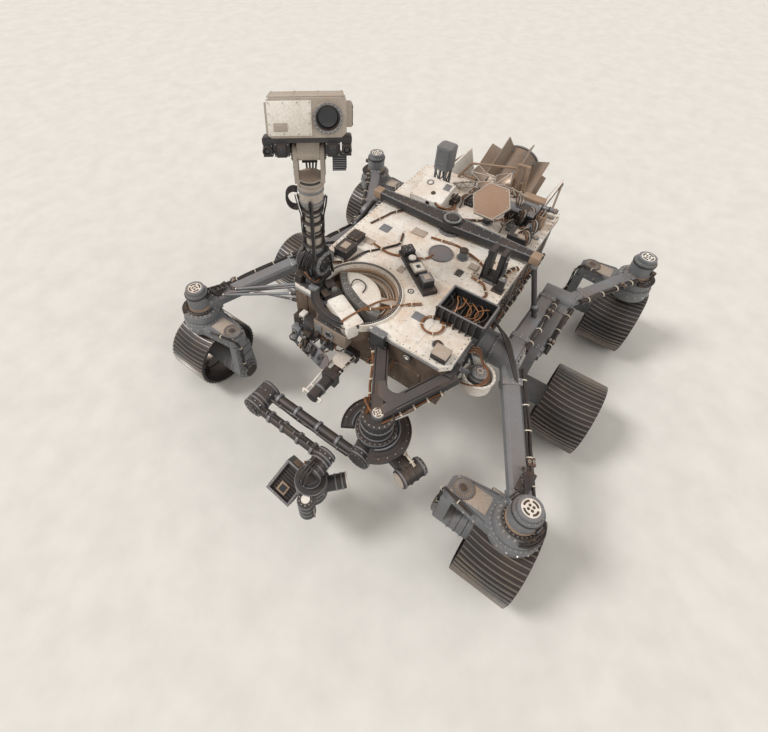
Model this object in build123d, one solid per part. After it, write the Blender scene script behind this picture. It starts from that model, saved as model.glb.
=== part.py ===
from build123d import *
import os
from math import cos, pi, radians, sin

"""Six-wheeled planetary rover, +X forward, +Y its left, +Z up, standing on z = 0, in millimetres."""

# Fits
GAP = 0.3  # between pieces that turn on each other
SEAT = 0.2  # round a fixed piece in its seat

# Wheels: an open aluminium drum with lugs, bowed spokes and a hub
WHEEL_R = 262.5  # over the lugs
WHEEL_W = 330.0
LUG_H = 8.0
LUG_BASE = 13.0
LUG_COUNT = 48
RIM_WALL = 6.0
SPOKE_COUNT = 6
SPOKE_T = 7.0
SPOKE_W = 46.0
SPOKE_BOW = 34.0
HUB_R = 82.0
HUB_W = 74.0
AXLE_R = 35.0
HALF_TRACK = 1185.0
FRONT_X = 1100.0
MIDDLE_X = 0.0
REAR_X = -1080.0

# Wheel legs, their drives and the steering
WHEEL_CLEAR = 25.0  # from the lugs to the strut above
STRUT_H = 80.0
STRUT_HALF_END = 66.0
STRUT_HALF_ROOT = 112.0
STRUT_CORNER = 30.0
STRUT_PLATE_T = 8.0
STRUT_PLATE_INSET = 14.0
LEG_REACH = 345.0  # inboard from the wheel's middle to the leg's middle
LEG_T = 60.0
DRIVE_R = 82.0
DRIVE_CAP_R = 59.0
DRIVE_CAP_H = 30.0
STEER_FLANGE_R = 135.0
STEER_FLANGE_RISE = 10.0
DIAL_R = 60.0  # toothed disc at the strut's inboard end
DIAL_H = 16.0
MOTOR_FLANGE_R = 122.0
MOTOR_FLANGE_H = 28.0
MOTOR_R = 76.0
MOTOR_H = 190.0
MOTOR_CAP_R = 62.0
MOTOR_CAP_H = 34.0

# Rocker and bogie
PIVOT_X = 350.0
PIVOT_Z = 900.0
PIVOT_R = 95.0
SUSPENSION_Y = 740.0  # middle plane of the rocker at its pivot
ROCKER_W = 104.0
ROCKER_D = 84.0
BOGIE_X = -500.0
BOGIE_Z = 705.0
BOGIE_PIVOT_R = 72.0
BOGIE_Y = 856.0  # middle plane of the bogie at its pivot
BOGIE_W = 88.0
BOGIE_D = 74.0
BEAM_CORNER = 16.0
CLAMP_H = 34.0
TUBE_RISE = 42.0  # of a tube's middle over the clamp's underside

# Body box and deck
BODY_REAR = -840.0
BODY_FRONT = 800.0
BODY_HALF_W = 530.0
BODY_BOTTOM = 660.0
DECK_Z = 1080.0  # underside of the deck plate
DECK_T = 40.0
DECK_LIP = 20.0
DECK_CORNER = 46.0
BELLY_T = 28.0
BODY_CHAMFER = 70.0
PORT_X = 645.0
PORT_Y = -150.0
PORT_R = 265.0
PORT_RIM_W = 24.0
PORT_RIM_H = 14.0
PORT_DEPTH = 64.0
PORT_DRUM_R = 178.0  # of the half drum behind the band
PORT_DRUM_GAP = 8.0
PORT_DRUM_DROP = 14.0  # half drum's top under the deck's top
PORT_FRONT_DROP = 38.0  # the same for the part in front of the band
PORT_SPLIT_TURN = 24.0  # degrees from across the rover
PORT_SPLIT_OFF = 26.0  # of the drum's flat side from the port's middle, forward
PORT_BAND_W = 40.0
PORT_BAND_H = 22.0
NOSE_W = 230.0  # block on the front of the port's housing
NOSE_H = 110.0
NOSE_DROP = 12.0
NOSE_REACH = 935.0

# Differential across the deck
DIFF_X = -220.0
DIFF_HALF = 612.0
DIFF_H = 46.0
DIFF_ROOT_W = 128.0
DIFF_TIP_W = 60.0
DIFF_RISE = 34.0
DIFF_PIVOT_R = 62.0
DIFF_PIVOT_H = 98.0
LINK_R = 17.0
LINK_FOOT_X = -90.0

# Mast
MAST_X = 650.0
MAST_Y = -478.0
MAST_FOOT_R = 58.0
MAST_DRUM_R = 84.0
MAST_DRUM_W = 150.0
MAST_DRUM_RISE = 104.0  # of the drum's middle over the deck
MAST_R = 44.0
MAST_H = 625.0  # from the deck to the neck
PAN_R = 66.0
PAN_H = 92.0
NECK_H = 62.0
NECK_ARM = 200.0  # from the mast's top to the tilt axis
TILT_R = 46.0
YOKE_HALF = 78.0
YOKE_T = 22.0
HEAD_PAN = 39.0  # degrees to its left, as it looks
HEAD_TILT = 16.0  # degrees up
HEAD_W = 372.0
HEAD_D = 208.0
HEAD_H = 172.0
HEAD_CORNER = 22.0
HEAD_RISE = 82.0  # from the tilt axis to the head box
WINDOW_R = 56.0
WINDOW_OFF = 100.0
WINDOW_RING = 12.0
WINDOW_DEEP = 14.0
SIDE_BOX_T = 26.0
SIDE_BOX_H = 96.0
SIDE_BOX_D = 130.0
CAMERA_BAR_W = 420.0
CAMERA_BAR_D = 92.0
CAMERA_BAR_H = 84.0
CAMERA_BAR_T = 22.0
CAMERA_HOOD = 18.0
ROUND_CAMERA_Y = 186.0
ROUND_CAMERA_W = 44.0
SQUARE_CAMERA_Y = 120.0
SQUARE_CAMERA_W = 70.0
SQUARE_HOOD_W = 46.0
LENS_R = 21.0
LOUVRE_Y = 150.0
LOUVRE_W = 66.0
LOUVRE_H = 78.0

# Arm
ARM_X = 1140.0
ARM_Y = 340.0
ARM_PLATE_Z = 880.0
ARM_PLATE_H = 26.0
ARM_BASE_R = 92.0
ARM_BASE_H = 112.0
ARM_BEAM_W = 82.0
ARM_BEAM_D = 84.0
ARM_FOOT_Z = 1024.0
ARM_FOOT_RIGHT_Y = 122.0  # on the front wall
ARM_FOOT_LEFT_X = 752.0  # on the left wall
ARM_FOOT_LEFT_OUT = 44.0
ARM_FOOT_T = 28.0
ARM_HOOK_W = 92.0  # plate that laps the deck's front edge
ARM_HOOK_RISE = 16.0
COLLAR_R = 116.0
COLLAR_H = 46.0
GUIDE_R = 200.0  # open cable guide round the collar
GUIDE_W = 80.0
GUIDE_T = 24.0
GUIDE_ARM_TURN = 60.0  # of its two arms from straight back, in degrees
GUIDE_MOUTH_TURN = -19.0  # of its opening for the raised upper arm, from straight ahead
GUIDE_MOUTH_HALF = 38.0
GUIDE_REAR_HALF = 30.0  # half of its opening behind
LIFT_MOTOR_FROM = (130.0, 245.0)  # of the arm's lifting motor, from the azimuth axis
LIFT_MOTOR_TO = (-20.0, 300.0)
LIFT_MOTOR_R = 52.0
LIFT_BEAM_W = 84.0
SHOULDER_DROP = 132.0  # from the drum's lower end to the level axis
JOINT_R = 66.0
JOINT_W = 120.0  # width of an arm joint's housing
ARM_TUBE_R = 30.0
UPPER_LENGTH = 700.0
FORE_LENGTH = 540.0
WRIST_R = 56.0
WRIST_DROP = 62.0
TURRET_OUT = 96.0
TURRET_R = 88.0
TURRET_H = 176.0
TOOL_BOX_AT = (34.0, -134.0, -158.0)  # middle of the framed instrument, from the turret's axis and top
TOOL_BOX_SIZE = (204.0, 168.0, 150.0)
TOOL_BOX_TURN = 30.0  # degrees
TOOL_BOX_FRAME = 16.0
TOOL_BOX_DEEP = 24.0
DRILL_AT = (96.0, 42.0)
DRILL_R = 46.0
DRILL_TOP = 24.0
DRILL_END = 230.0
SENSOR_LOW = (-96.0, -46.0, -164.0)
SENSOR_HIGH = (-62.0, 52.0, -40.0)
CLOSE_CAMERA_R = 45.0
CLOSE_CAMERA_FROM = (-40.0, 40.0, -112.0)
CLOSE_CAMERA_TO = (-146.0, 140.0, -98.0)

# High-gain antenna, post antenna and power source
HGA_X = -440.0
HGA_Y = 165.0
HGA_RISE = 154.0  # of the tilt axis over the deck
HGA_R = 135.0
HGA_T = 22.0
HGA_OFF = 34.0  # of the plate from its tilt axis
HGA_TILT = 34.0
HGA_POST_R = 28.0  # slim enough for the plate to hang upright beside it
HGA_POST_H = 36.0
HGA_COLLAR_H = 18.0
HGA_EAR_Y = 35.0  # inner face of the yoke's ears
HGA_EAR_T = 18.0
HGA_EAR_R = 22.0
HGA_AXLE_R = 19.8
UHF_X = -620.0
UHF_Y = -303.0
UHF_RISE = 176.0
UHF_W = 118.0
UHF_H = 168.0
UHF_CORNER = 16.0
UHF_LEG_R = 9.0
POWER_R = 142.0
POWER_L = 480.0
POWER_FIN_R = 262.0
POWER_FIN_T = 8.0
POWER_FIN_END = 30.0
POWER_FINS = 8
POWER_X = -1030.0
POWER_Z = 880.0
POWER_TILT = 24.0
CRADLE_HALF = 112.0
PANEL_T = 16.0
PANEL_L = 460.0
PANEL_H = 300.0
PANEL_Y = 300.0
PANEL_Z = 800.0
PANEL_LEAN = 18.0
PANEL_ARM_RISE = 75.0  # of its lower arm, and of its upper one from the top
PANEL_GAP = 52.0  # behind the body's rear wall

# Gear on the deck and the body's walls
FIN_BOX_X = 435.0
FIN_BOX_Y = 452.0
FIN_BOX_L = 200.0
FIN_BOX_W = 280.0
FIN_BOX_H = 104.0
FIN_BOX_WALL = 10.0
FIN_T = 7.0
FIN_D = 22.0
FIN_COUNT = 8
FORK_X = 50.0
FORK_Y = 430.0
FORK_L = 84.0
FORK_W = 96.0
FORK_H = 236.0
FORK_SLOT = 40.0
STOP_X = 118.0  # low bracket beside the fork
STOP_Y = 512.0
STOP_H = 92.0
RAIL_X = 284.0
RAIL_Y = 38.0
RAIL_TURN = 54.0
RAIL_L = 400.0
RAIL_W = 92.0
RAIL_H = 30.0
PLATE_X = 40.0
PLATE_Y = 70.0
PLATE_R = 80.0
PLATE_H = 10.0
KNOB_X = -12.0
KNOB_Y = 200.0
KNOB_R = 26.0
KNOB_H = 60.0
REAR_BOX_X = -430.0
REAR_BOX_Y = -272.0
REAR_BOX_L = 210.0
REAR_BOX_W = 250.0
REAR_BOX_LOW = 70.0
REAR_BOX_HIGH = 124.0
CANISTER_X = 600.0
CANISTER_OUT = 132.0  # from the body's wall to its middle
CANISTER_TOP = 965.0
CANISTER_R = 84.0
CANISTER_H = 118.0
CANISTER_RING = 12.0
CASTING_L = 190.0
CASTING_H = 190.0
CASTING_T = 26.0
POST_Y = -70.0
POST_Z = 755.0
POST_R = 36.0
POST_REACH = 1215.0
POST_CAP = 96.0
POST_CAP_X = 1010.0

WHEEL_Z = WHEEL_R
RIM_R = WHEEL_R - LUG_H
RIM_BORE_R = RIM_R - RIM_WALL
STRUT_Z = 2 * WHEEL_R + WHEEL_CLEAR
STEER_Z = STRUT_Z + STRUT_H + STEER_FLANGE_RISE
CLAMP_Z = STEER_Z + GAP + MOTOR_FLANGE_H
LEG_INNER_Y = HALF_TRACK - LEG_REACH - LEG_T / 2
DECK_TOP = DECK_Z + DECK_T
MAST_DRUM_Z = DECK_TOP + MAST_DRUM_RISE
MAST_TOP = DECK_TOP + MAST_H
TILT_Z = MAST_TOP + NECK_ARM
COLLAR_TOP = ARM_PLATE_Z - ARM_BASE_H - GAP
ARM_AXIS_Z = COLLAR_TOP + GAP - SHOULDER_DROP
UPPER_X = ARM_X + JOINT_W + GAP
FORE_X = UPPER_X + JOINT_W + GAP
WRIST_X = FORE_X + JOINT_W / 2 + GAP
ELBOW_Y = ARM_Y - UPPER_LENGTH
WRIST_Y = ELBOW_Y + FORE_LENGTH
TURRET_X = WRIST_X + TURRET_OUT
TURRET_TOP = ARM_AXIS_Z - WRIST_DROP
HGA_Z = DECK_TOP + HGA_RISE
LOW = Align.MIN
MID = Align.CENTER


def bar(start, end, radius):
    """Round bar from one point to another."""
    start, end = Vector(*start), Vector(*end)
    length = (end - start).length
    return Plane(origin=start, z_dir=end - start) * Cylinder(radius, length, align=(MID, MID, LOW))


def octagon(width, depth, corner):
    """Rectangle with its corners cut off."""
    x, y = width / 2, depth / 2
    points = [(x, corner - y), (x, y - corner), (x - corner, y), (corner - x, y)]
    points += [(-a, -b) for a, b in points]
    return make_face(Polyline(*points, close=True))


def beam(start, end, width, depth):
    """Box beam with cut corners from one point to another, with its width level."""
    start, end = Vector(*start), Vector(*end)
    along = end - start
    section = Plane(origin=start, x_dir=Vector(0, 0, 1).cross(along), z_dir=along)
    return section * extrude(octagon(width, depth, BEAM_CORNER), along.length)


def block(low, high):
    """Box between two corners."""
    size = [b - a for a, b in zip(low, high)]
    return Pos(*low) * Box(*size, align=(LOW, LOW, LOW))


def standing(x, y, z, length, width, height):
    """Box that stands on z about a point."""
    return Pos(x, y, z) * Box(length, width, height, align=(MID, MID, LOW))


def disc(x, y, low, high, radius):
    """Upright cylinder between two heights."""
    return Pos(x, y, low) * Cylinder(radius, high - low, align=(MID, MID, LOW))


def polar(radius, angle):
    return (radius * cos(angle), radius * sin(angle))


def seen_from_side(profile, y, width):
    """Profile drawn in x and z, as thick as width from y towards the rover's middle."""
    return Plane(origin=(0, y, 0), x_dir=(1, 0, 0), z_dir=(0, -1, 0)) * extrude(profile, width)


def lug_outline():
    """Outline of the rim with its lugs."""
    half = LUG_BASE / RIM_R / 2
    points = []
    for i in range(LUG_COUNT):
        middle = 2 * pi * i / LUG_COUNT
        points += [polar(RIM_R, middle - half), polar(WHEEL_R, middle), polar(RIM_R, middle + half)]
    return make_face(Polyline(*points, close=True))


def spoke():
    """One bowed flat spring from hub to rim."""
    start, end = HUB_R - SPOKE_T, RIM_BORE_R + RIM_WALL / 2
    middle = (start + end) / 2
    inner = ThreePointArc((start, 0), (middle, SPOKE_BOW), (end, 0))
    outer = ThreePointArc((end, SPOKE_T), (middle, SPOKE_BOW + SPOKE_T), (start, SPOKE_T))
    edges = [inner, Line((end, 0), (end, SPOKE_T)), outer, Line((start, SPOKE_T), (start, 0))]
    return Pos(0, 0, -SPOKE_W / 2) * extrude(make_face(edges), SPOKE_W)


def wheel(x):
    """Left wheel in place: its axle runs along Y."""
    rim = extrude(lug_outline(), WHEEL_W / 2, both=True) - Cylinder(RIM_BORE_R, WHEEL_W * 2)
    hub = Cylinder(HUB_R, HUB_W)
    for i in range(SPOKE_COUNT):
        hub += Rot(Z=360 * i / SPOKE_COUNT) * spoke()
    whole = (rim + hub) - Cylinder(AXLE_R, WHEEL_W)
    return Pos(x, HALF_TRACK, WHEEL_Z) * Rot(X=90) * whole


def drive_leg(x, top):
    """Drive motor on the wheel's axle and the leg inboard of it, up to a height."""
    outer = LEG_INNER_Y + LEG_T
    motor = bar((x, outer, WHEEL_Z), (x, HALF_TRACK - HUB_W / 2 - GAP, WHEEL_Z), DRIVE_R)
    axle = bar((x, outer, WHEEL_Z), (x, HALF_TRACK + HUB_W / 2, WHEEL_Z), AXLE_R - GAP)
    cap = bar((x, LEG_INNER_Y - DRIVE_CAP_H, WHEEL_Z), (x, LEG_INNER_Y, WHEEL_Z), DRIVE_CAP_R)
    side = [
        Line((x - STRUT_HALF_END, top), (x - DRIVE_R, WHEEL_Z)),
        ThreePointArc((x - DRIVE_R, WHEEL_Z), (x, WHEEL_Z - DRIVE_R), (x + DRIVE_R, WHEEL_Z)),
        Line((x + DRIVE_R, WHEEL_Z), (x + STRUT_HALF_END, top)),
        Line((x + STRUT_HALF_END, top), (x - STRUT_HALF_END, top)),
    ]
    return motor + axle + cap + seen_from_side(make_face(side), outer, LEG_T)


def strut_plan(x, inset):
    """Outline of a strut seen from above, wide at the steering axis."""
    end_y = LEG_INNER_Y + inset
    root, end = STRUT_HALF_ROOT - inset, STRUT_HALF_END - inset
    corner = STRUT_CORNER
    return make_face(
        Polyline(
            (x + root, HALF_TRACK),
            (x - root, HALF_TRACK),
            (x - end, end_y + corner),
            (x - end + corner, end_y),
            (x + end - corner, end_y),
            (x + end, end_y + corner),
            close=True,
        )
    )


def knuckle(x):
    """Steered leg: a flange under the steering motor, a strut over the wheel and the drive leg."""
    top = STRUT_Z + STRUT_H
    flange = disc(x, HALF_TRACK, STRUT_Z, STEER_Z, STEER_FLANGE_R)
    strut = Pos(0, 0, STRUT_Z) * extrude(strut_plan(x, 0), STRUT_H)
    plate = Pos(0, 0, top) * extrude(strut_plan(x, STRUT_PLATE_INSET), STRUT_PLATE_T)
    dial_y = LEG_INNER_Y + STRUT_PLATE_INSET + DIAL_R
    dial = disc(x, dial_y, STRUT_Z, top + DIAL_H, DIAL_R)
    return flange + strut + plate + dial + drive_leg(x, STRUT_Z)


def steering_motor(x):
    """Upright motor over a steered wheel."""
    low = STEER_Z + GAP
    motor = None
    # (radius, height) of each step, from its foot up
    for radius, height in ((MOTOR_FLANGE_R, MOTOR_FLANGE_H), (MOTOR_R, MOTOR_H), (MOTOR_CAP_R, MOTOR_CAP_H)):
        step = disc(x, HALF_TRACK, low, low + height, radius)
        motor = step if motor is None else motor + step
        low += height
    return motor


def clamped(arm, x):
    """An arm with its clamp on the steering motor's flange and the hole for the motor."""
    arm += disc(x, HALF_TRACK, CLAMP_Z, CLAMP_Z + CLAMP_H, MOTOR_FLANGE_R)
    return arm - disc(x, HALF_TRACK, STEER_Z, CLAMP_Z + MOTOR_H, MOTOR_R + SEAT)


def rocker():
    """Left rocker: pivot on the body's side, front tube to the steering motor, rear arm to the bogie."""
    pivot = (PIVOT_X, SUSPENSION_Y, PIVOT_Z)
    outer = SUSPENSION_Y + ROCKER_W / 2
    hub = bar((PIVOT_X, BODY_HALF_W, PIVOT_Z), (PIVOT_X, outer, PIVOT_Z), PIVOT_R)
    front = beam(pivot, (FRONT_X, HALF_TRACK, CLAMP_Z + TUBE_RISE), ROCKER_W, ROCKER_D)
    rear = beam(pivot, (BOGIE_X, SUSPENSION_Y, BOGIE_Z), ROCKER_W, ROCKER_D)
    eye = bar((BOGIE_X, outer - ROCKER_W, BOGIE_Z), (BOGIE_X, outer, BOGIE_Z), BOGIE_PIVOT_R)
    return clamped(hub + front + rear + eye, FRONT_X)


def bogie():
    """Left bogie: pivot on the rocker's rear end, leg to the middle wheel, tube to the rear motor."""
    pivot = (BOGIE_X, BOGIE_Y, BOGIE_Z)
    hub_in = SUSPENSION_Y + ROCKER_W / 2
    hub = bar((BOGIE_X, hub_in, BOGIE_Z), (BOGIE_X, BOGIE_Y + BOGIE_W / 2, BOGIE_Z), BOGIE_PIVOT_R)
    rear = beam(pivot, (REAR_X, HALF_TRACK, CLAMP_Z + TUBE_RISE), BOGIE_W, BOGIE_D)
    knee_z = STRUT_Z + STRUT_H / 2
    leg_y = LEG_INNER_Y + LEG_T / 2
    front = beam(pivot, (MIDDLE_X, leg_y, knee_z), BOGIE_W, BOGIE_D)
    knee = bar((MIDDLE_X, LEG_INNER_Y, knee_z), (MIDDLE_X, LEG_INNER_Y + LEG_T, knee_z), STRUT_HALF_END)
    return clamped(hub + rear + front + knee + drive_leg(MIDDLE_X, knee_z), REAR_X)


def body_box():
    """Closed equipment box with the port's housing and its nose block in front."""
    box = block((BODY_REAR, -BODY_HALF_W, BODY_BOTTOM), (BODY_FRONT, BODY_HALF_W, DECK_Z))
    box = chamfer(box.faces().sort_by(Axis.Z)[0].edges(), BODY_CHAMFER)
    floor = DECK_Z - PORT_DEPTH
    box += disc(PORT_X, PORT_Y, floor - PORT_RIM_W, DECK_Z, PORT_R)
    nose_top = DECK_Z - NOSE_DROP
    half = NOSE_W / 2
    box += block((PORT_X, PORT_Y - half, nose_top - NOSE_H), (NOSE_REACH, PORT_Y + half, nose_top))
    return box - disc(PORT_X, PORT_Y, floor, DECK_Z, PORT_R - PORT_RIM_W)


def belly_pan():
    """Shallow pan under the box."""
    inset = BODY_CHAMFER + BELLY_T
    low = (BODY_REAR + inset, -BODY_HALF_W + inset, BODY_BOTTOM - BELLY_T)
    high = (BODY_FRONT - inset, BODY_HALF_W - inset, BODY_BOTTOM)
    return chamfer(block(low, high).faces().sort_by(Axis.Z)[0].edges(), BELLY_T / 2)


def deck():
    """Deck plate with cut corners, the open front port and its rim."""
    side = BODY_HALF_W + DECK_LIP
    plate = block((BODY_REAR - DECK_LIP, -side, DECK_Z), (BODY_FRONT + DECK_LIP, side, DECK_TOP))
    plate = chamfer(plate.edges().filter_by(Axis.Z), DECK_CORNER)
    rim_top = DECK_TOP + PORT_RIM_H
    rim = disc(PORT_X, PORT_Y, DECK_Z, rim_top, PORT_R)
    return plate + rim - disc(PORT_X, PORT_Y, DECK_Z, rim_top, PORT_R - PORT_RIM_W)


def carousel():
    """Half drum behind the raised band across the port, and the lower cover in front of the band."""
    radius = PORT_R - PORT_RIM_W - PORT_DRUM_GAP
    floor = DECK_Z - PORT_DEPTH
    height = DECK_TOP - PORT_DRUM_DROP - floor
    front_height = DECK_TOP - PORT_FRONT_DROP - floor
    size = 2 * PORT_R
    behind = Pos(PORT_SPLIT_OFF - size, -size / 2, 0) * Box(size, size, size, align=(LOW, LOW, LOW))
    drum = Cylinder(PORT_DRUM_R, height, align=(MID, MID, LOW)) & behind
    cover = Cylinder(radius, front_height, align=(MID, MID, LOW)) - behind
    reach = 2 * (radius**2 - (PORT_SPLIT_OFF + PORT_BAND_W) ** 2) ** 0.5
    band = Pos(PORT_SPLIT_OFF, -reach / 2, 0) * Box(
        PORT_BAND_W, reach, height + PORT_BAND_H, align=(LOW, LOW, LOW)
    )
    return Pos(PORT_X, PORT_Y, floor) * Rot(Z=-PORT_SPLIT_TURN) * (drum + cover + band)


def differential():
    """Tapered bar across the deck on its middle pivot, with the two drop links."""
    low = DECK_TOP + DIFF_RISE
    root, tip = DIFF_ROOT_W / 2, DIFF_TIP_W / 2
    half_plan = [(DIFF_X - tip, -DIFF_HALF), (DIFF_X - root, 0), (DIFF_X - tip, DIFF_HALF)]
    points = half_plan + [(2 * DIFF_X - x, y) for x, y in reversed(half_plan)]
    whole = Pos(0, 0, low) * extrude(make_face(Polyline(*points, close=True)), DIFF_H)
    whole += disc(DIFF_X, 0, DECK_TOP, DECK_TOP + DIFF_PIVOT_H, DIFF_PIVOT_R)
    foot_rise = (LINK_FOOT_X - BOGIE_X) / (PIVOT_X - BOGIE_X) * (PIVOT_Z - BOGIE_Z)
    for side in (1, -1):
        head = (DIFF_X, side * (DIFF_HALF - tip), low + DIFF_H / 2)
        foot = (LINK_FOOT_X, side * SUSPENSION_Y, BOGIE_Z + foot_rise + ROCKER_D / 2)
        whole += bar(head, foot, LINK_R)
    return whole


def mast_base():
    """Foot and round drum of the mast at the deck's corner."""
    half = MAST_DRUM_W / 2
    drum = bar((MAST_X, MAST_Y - half, MAST_DRUM_Z), (MAST_X, MAST_Y + half, MAST_DRUM_Z), MAST_DRUM_R)
    return disc(MAST_X, MAST_Y, DECK_TOP, MAST_DRUM_Z, MAST_FOOT_R) + drum


def mast_tube():
    """Slim mast with the pan motor on top, on a flat of the drum."""
    tube = disc(MAST_X, MAST_Y, MAST_DRUM_Z, MAST_TOP - PAN_H, MAST_R)
    return tube + disc(MAST_X, MAST_Y, MAST_TOP - PAN_H, MAST_TOP, PAN_R)


def turned(piece):
    """Turns a piece of the head from straight ahead to where it looks."""
    return Pos(MAST_X, MAST_Y, 0) * Rot(Z=HEAD_PAN) * piece


def nodded(piece):
    """Nods a piece about the tilt axis, then turns it."""
    return turned(Pos(0, 0, TILT_Z) * Rot(Y=-HEAD_TILT) * piece)


def mast_neck():
    """Turning neck with a yoke for the head."""
    base = MAST_TOP + GAP
    top = base + NECK_H
    yoke = disc(0, 0, base, top, PAN_R)
    yoke += block((-TILT_R, -YOKE_HALF, top - YOKE_T), (TILT_R, YOKE_HALF, top))
    for y in (-YOKE_HALF, YOKE_HALF - YOKE_T):
        yoke += block((-TILT_R, y, top - YOKE_T), (TILT_R, y + YOKE_T, TILT_Z))
        yoke += bar((0, y, TILT_Z), (0, y + YOKE_T, TILT_Z), TILT_R)
    return turned(yoke)


def mast_head():
    """Head box with its round window and side box, on the core that tilts."""
    inner = YOKE_HALF - YOKE_T - GAP
    front, side = HEAD_D / 2, HEAD_W / 2
    core = bar((0, -inner, 0), (0, inner, 0), TILT_R)
    stem = block((-TILT_R, -inner, 0), (TILT_R, inner, HEAD_RISE))
    outline = octagon(HEAD_W, HEAD_H, HEAD_CORNER)
    facing = Plane(origin=(-front, 0, HEAD_RISE + HEAD_H / 2), x_dir=(0, 1, 0), z_dir=(1, 0, 0))
    box = facing * extrude(outline, HEAD_D)
    middle = HEAD_RISE + HEAD_H / 2
    low, high = middle - SIDE_BOX_H / 2, middle + SIDE_BOX_H / 2
    box += block((-SIDE_BOX_D / 2, side, low), (SIDE_BOX_D / 2, side + SIDE_BOX_T, high))
    ring_end = (front + WINDOW_RING, WINDOW_OFF, middle)
    ring = bar((front, WINDOW_OFF, middle), ring_end, WINDOW_R + WINDOW_RING)
    recess = bar((front - WINDOW_DEEP, WINDOW_OFF, middle), (HEAD_D, WINDOW_OFF, middle), WINDOW_R)
    return nodded(core + stem + box + ring - recess)


def head_cameras():
    """Camera bar in front of the tilt axis, with two round and two square cameras and a louvred box."""
    front = HEAD_D / 2
    back = front - CAMERA_BAR_D
    low, high = HEAD_RISE - CAMERA_BAR_H, HEAD_RISE - CAMERA_BAR_T
    middle = (low + high) / 2
    whole = block((back, -CAMERA_BAR_W / 2, high), (front, CAMERA_BAR_W / 2, HEAD_RISE))
    for side in (-1, 1):
        y = side * ROUND_CAMERA_Y
        whole += block((back, y - ROUND_CAMERA_W / 2, low), (front, y + ROUND_CAMERA_W / 2, high))
        whole += bar((front, y, middle), (front + CAMERA_HOOD, y, middle), LENS_R)
        y = side * SQUARE_CAMERA_Y
        whole += block((back, y - SQUARE_CAMERA_W / 2, low), (front, y + SQUARE_CAMERA_W / 2, high))
        hood = SQUARE_HOOD_W / 2
        whole += block((front, y - hood, low), (front + CAMERA_HOOD, y + hood, high))
    half = LOUVRE_W / 2
    whole += block((back, LOUVRE_Y - half, low - LOUVRE_H), (back + LOUVRE_W, LOUVRE_Y + half, low))
    return nodded(whole)


def arm_bracket():
    """Two beams, from the body's front wall and from its left wall, to the plate that carries the arm."""
    vertex = (ARM_X, ARM_Y, ARM_PLATE_Z + ARM_PLATE_H / 2)
    right_y, left_y = ARM_FOOT_RIGHT_Y, BODY_HALF_W + ARM_FOOT_LEFT_OUT
    half, hook = (ARM_BEAM_W + ARM_FOOT_T) / 2, ARM_HOOK_W / 2
    low, high = ARM_FOOT_Z - ARM_BEAM_D, ARM_FOOT_Z + ARM_BEAM_D / 2
    edge_x, hook_top = BODY_FRONT + DECK_LIP, DECK_TOP + ARM_HOOK_RISE
    whole = disc(ARM_X, ARM_Y, ARM_PLATE_Z, ARM_PLATE_Z + ARM_PLATE_H, ARM_BASE_R)
    right_start = (BODY_FRONT - ARM_BEAM_W, right_y - ARM_BEAM_W / 2, ARM_FOOT_Z)
    for start in (right_start, (ARM_FOOT_LEFT_X, left_y, ARM_FOOT_Z)):
        whole += beam(start, vertex, ARM_BEAM_W, ARM_BEAM_D)
    # (low corner, high corner) of the foot on each wall and of the hook over the deck's edge
    feet = (
        ((BODY_FRONT, right_y - half, low), (BODY_FRONT + ARM_FOOT_T, right_y + half, high)),
        ((ARM_FOOT_LEFT_X - half, BODY_HALF_W, low), (ARM_FOOT_LEFT_X + half, left_y, high)),
        ((edge_x, right_y - hook, ARM_FOOT_Z), (edge_x + ARM_FOOT_T, right_y + hook, hook_top)),
    )
    for corners in feet:
        whole += block(*corners)
    body = block((0, -BODY_HALF_W, 0), (BODY_FRONT, BODY_HALF_W, hook_top))
    under = disc(ARM_X, ARM_Y, 0, ARM_PLATE_Z, 2 * ARM_BASE_R)
    return whole - body - under


def arm_base():
    """Fixed motor drum under the plate."""
    return disc(ARM_X, ARM_Y, ARM_PLATE_Z - ARM_BASE_H, ARM_PLATE_Z, ARM_BASE_R)


def shoulder():
    """Turning shoulder: collar with its open cable guide, and the level housing for the upper arm."""
    low = COLLAR_TOP - COLLAR_H
    rear, front = ARM_X - JOINT_W / 2, ARM_X + JOINT_W
    ring = disc(0, 0, low, low + GUIDE_T, GUIDE_R) - disc(0, 0, low, low + GUIDE_T, GUIDE_R - GUIDE_W)
    reach = 2 * GUIDE_R
    guide = ring
    for turn, spread in ((GUIDE_MOUTH_TURN, GUIDE_MOUTH_HALF), (180, GUIDE_REAR_HALF)):
        x, y = polar(reach, radians(spread))
        mouth = make_face(Polyline((0, 0), (x, y), (reach, 0), (x, -y), close=True))
        guide -= Pos(0, 0, low) * Rot(Z=turn) * extrude(mouth, GUIDE_T)
    arm = block((0, -GUIDE_T / 2, low), (GUIDE_R - GUIDE_W / 2, GUIDE_T / 2, low + GUIDE_T))
    for turn in (180 - GUIDE_ARM_TURN, 180 + GUIDE_ARM_TURN):
        guide += Rot(Z=turn) * arm
    whole = disc(ARM_X, ARM_Y, low, COLLAR_TOP, COLLAR_R) + Pos(ARM_X, ARM_Y, 0) * guide
    whole += bar((rear, ARM_Y, ARM_AXIS_Z), (front, ARM_Y, ARM_AXIS_Z), JOINT_R)
    half = JOINT_R * cos(pi / 4)
    whole += block((rear, ARM_Y - half, ARM_AXIS_Z), (ARM_X + JOINT_R, ARM_Y + half, low))
    start, end = (Vector(*at, 0) for at in (LIFT_MOTOR_FROM, LIFT_MOTOR_TO))
    lift = bar(start, end, LIFT_MOTOR_R) + beam((0, 0, 0), (start + end) / 2, LIFT_BEAM_W, 2 * half)
    return whole + Pos(ARM_X, ARM_Y, ARM_AXIS_Z) * lift


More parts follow.
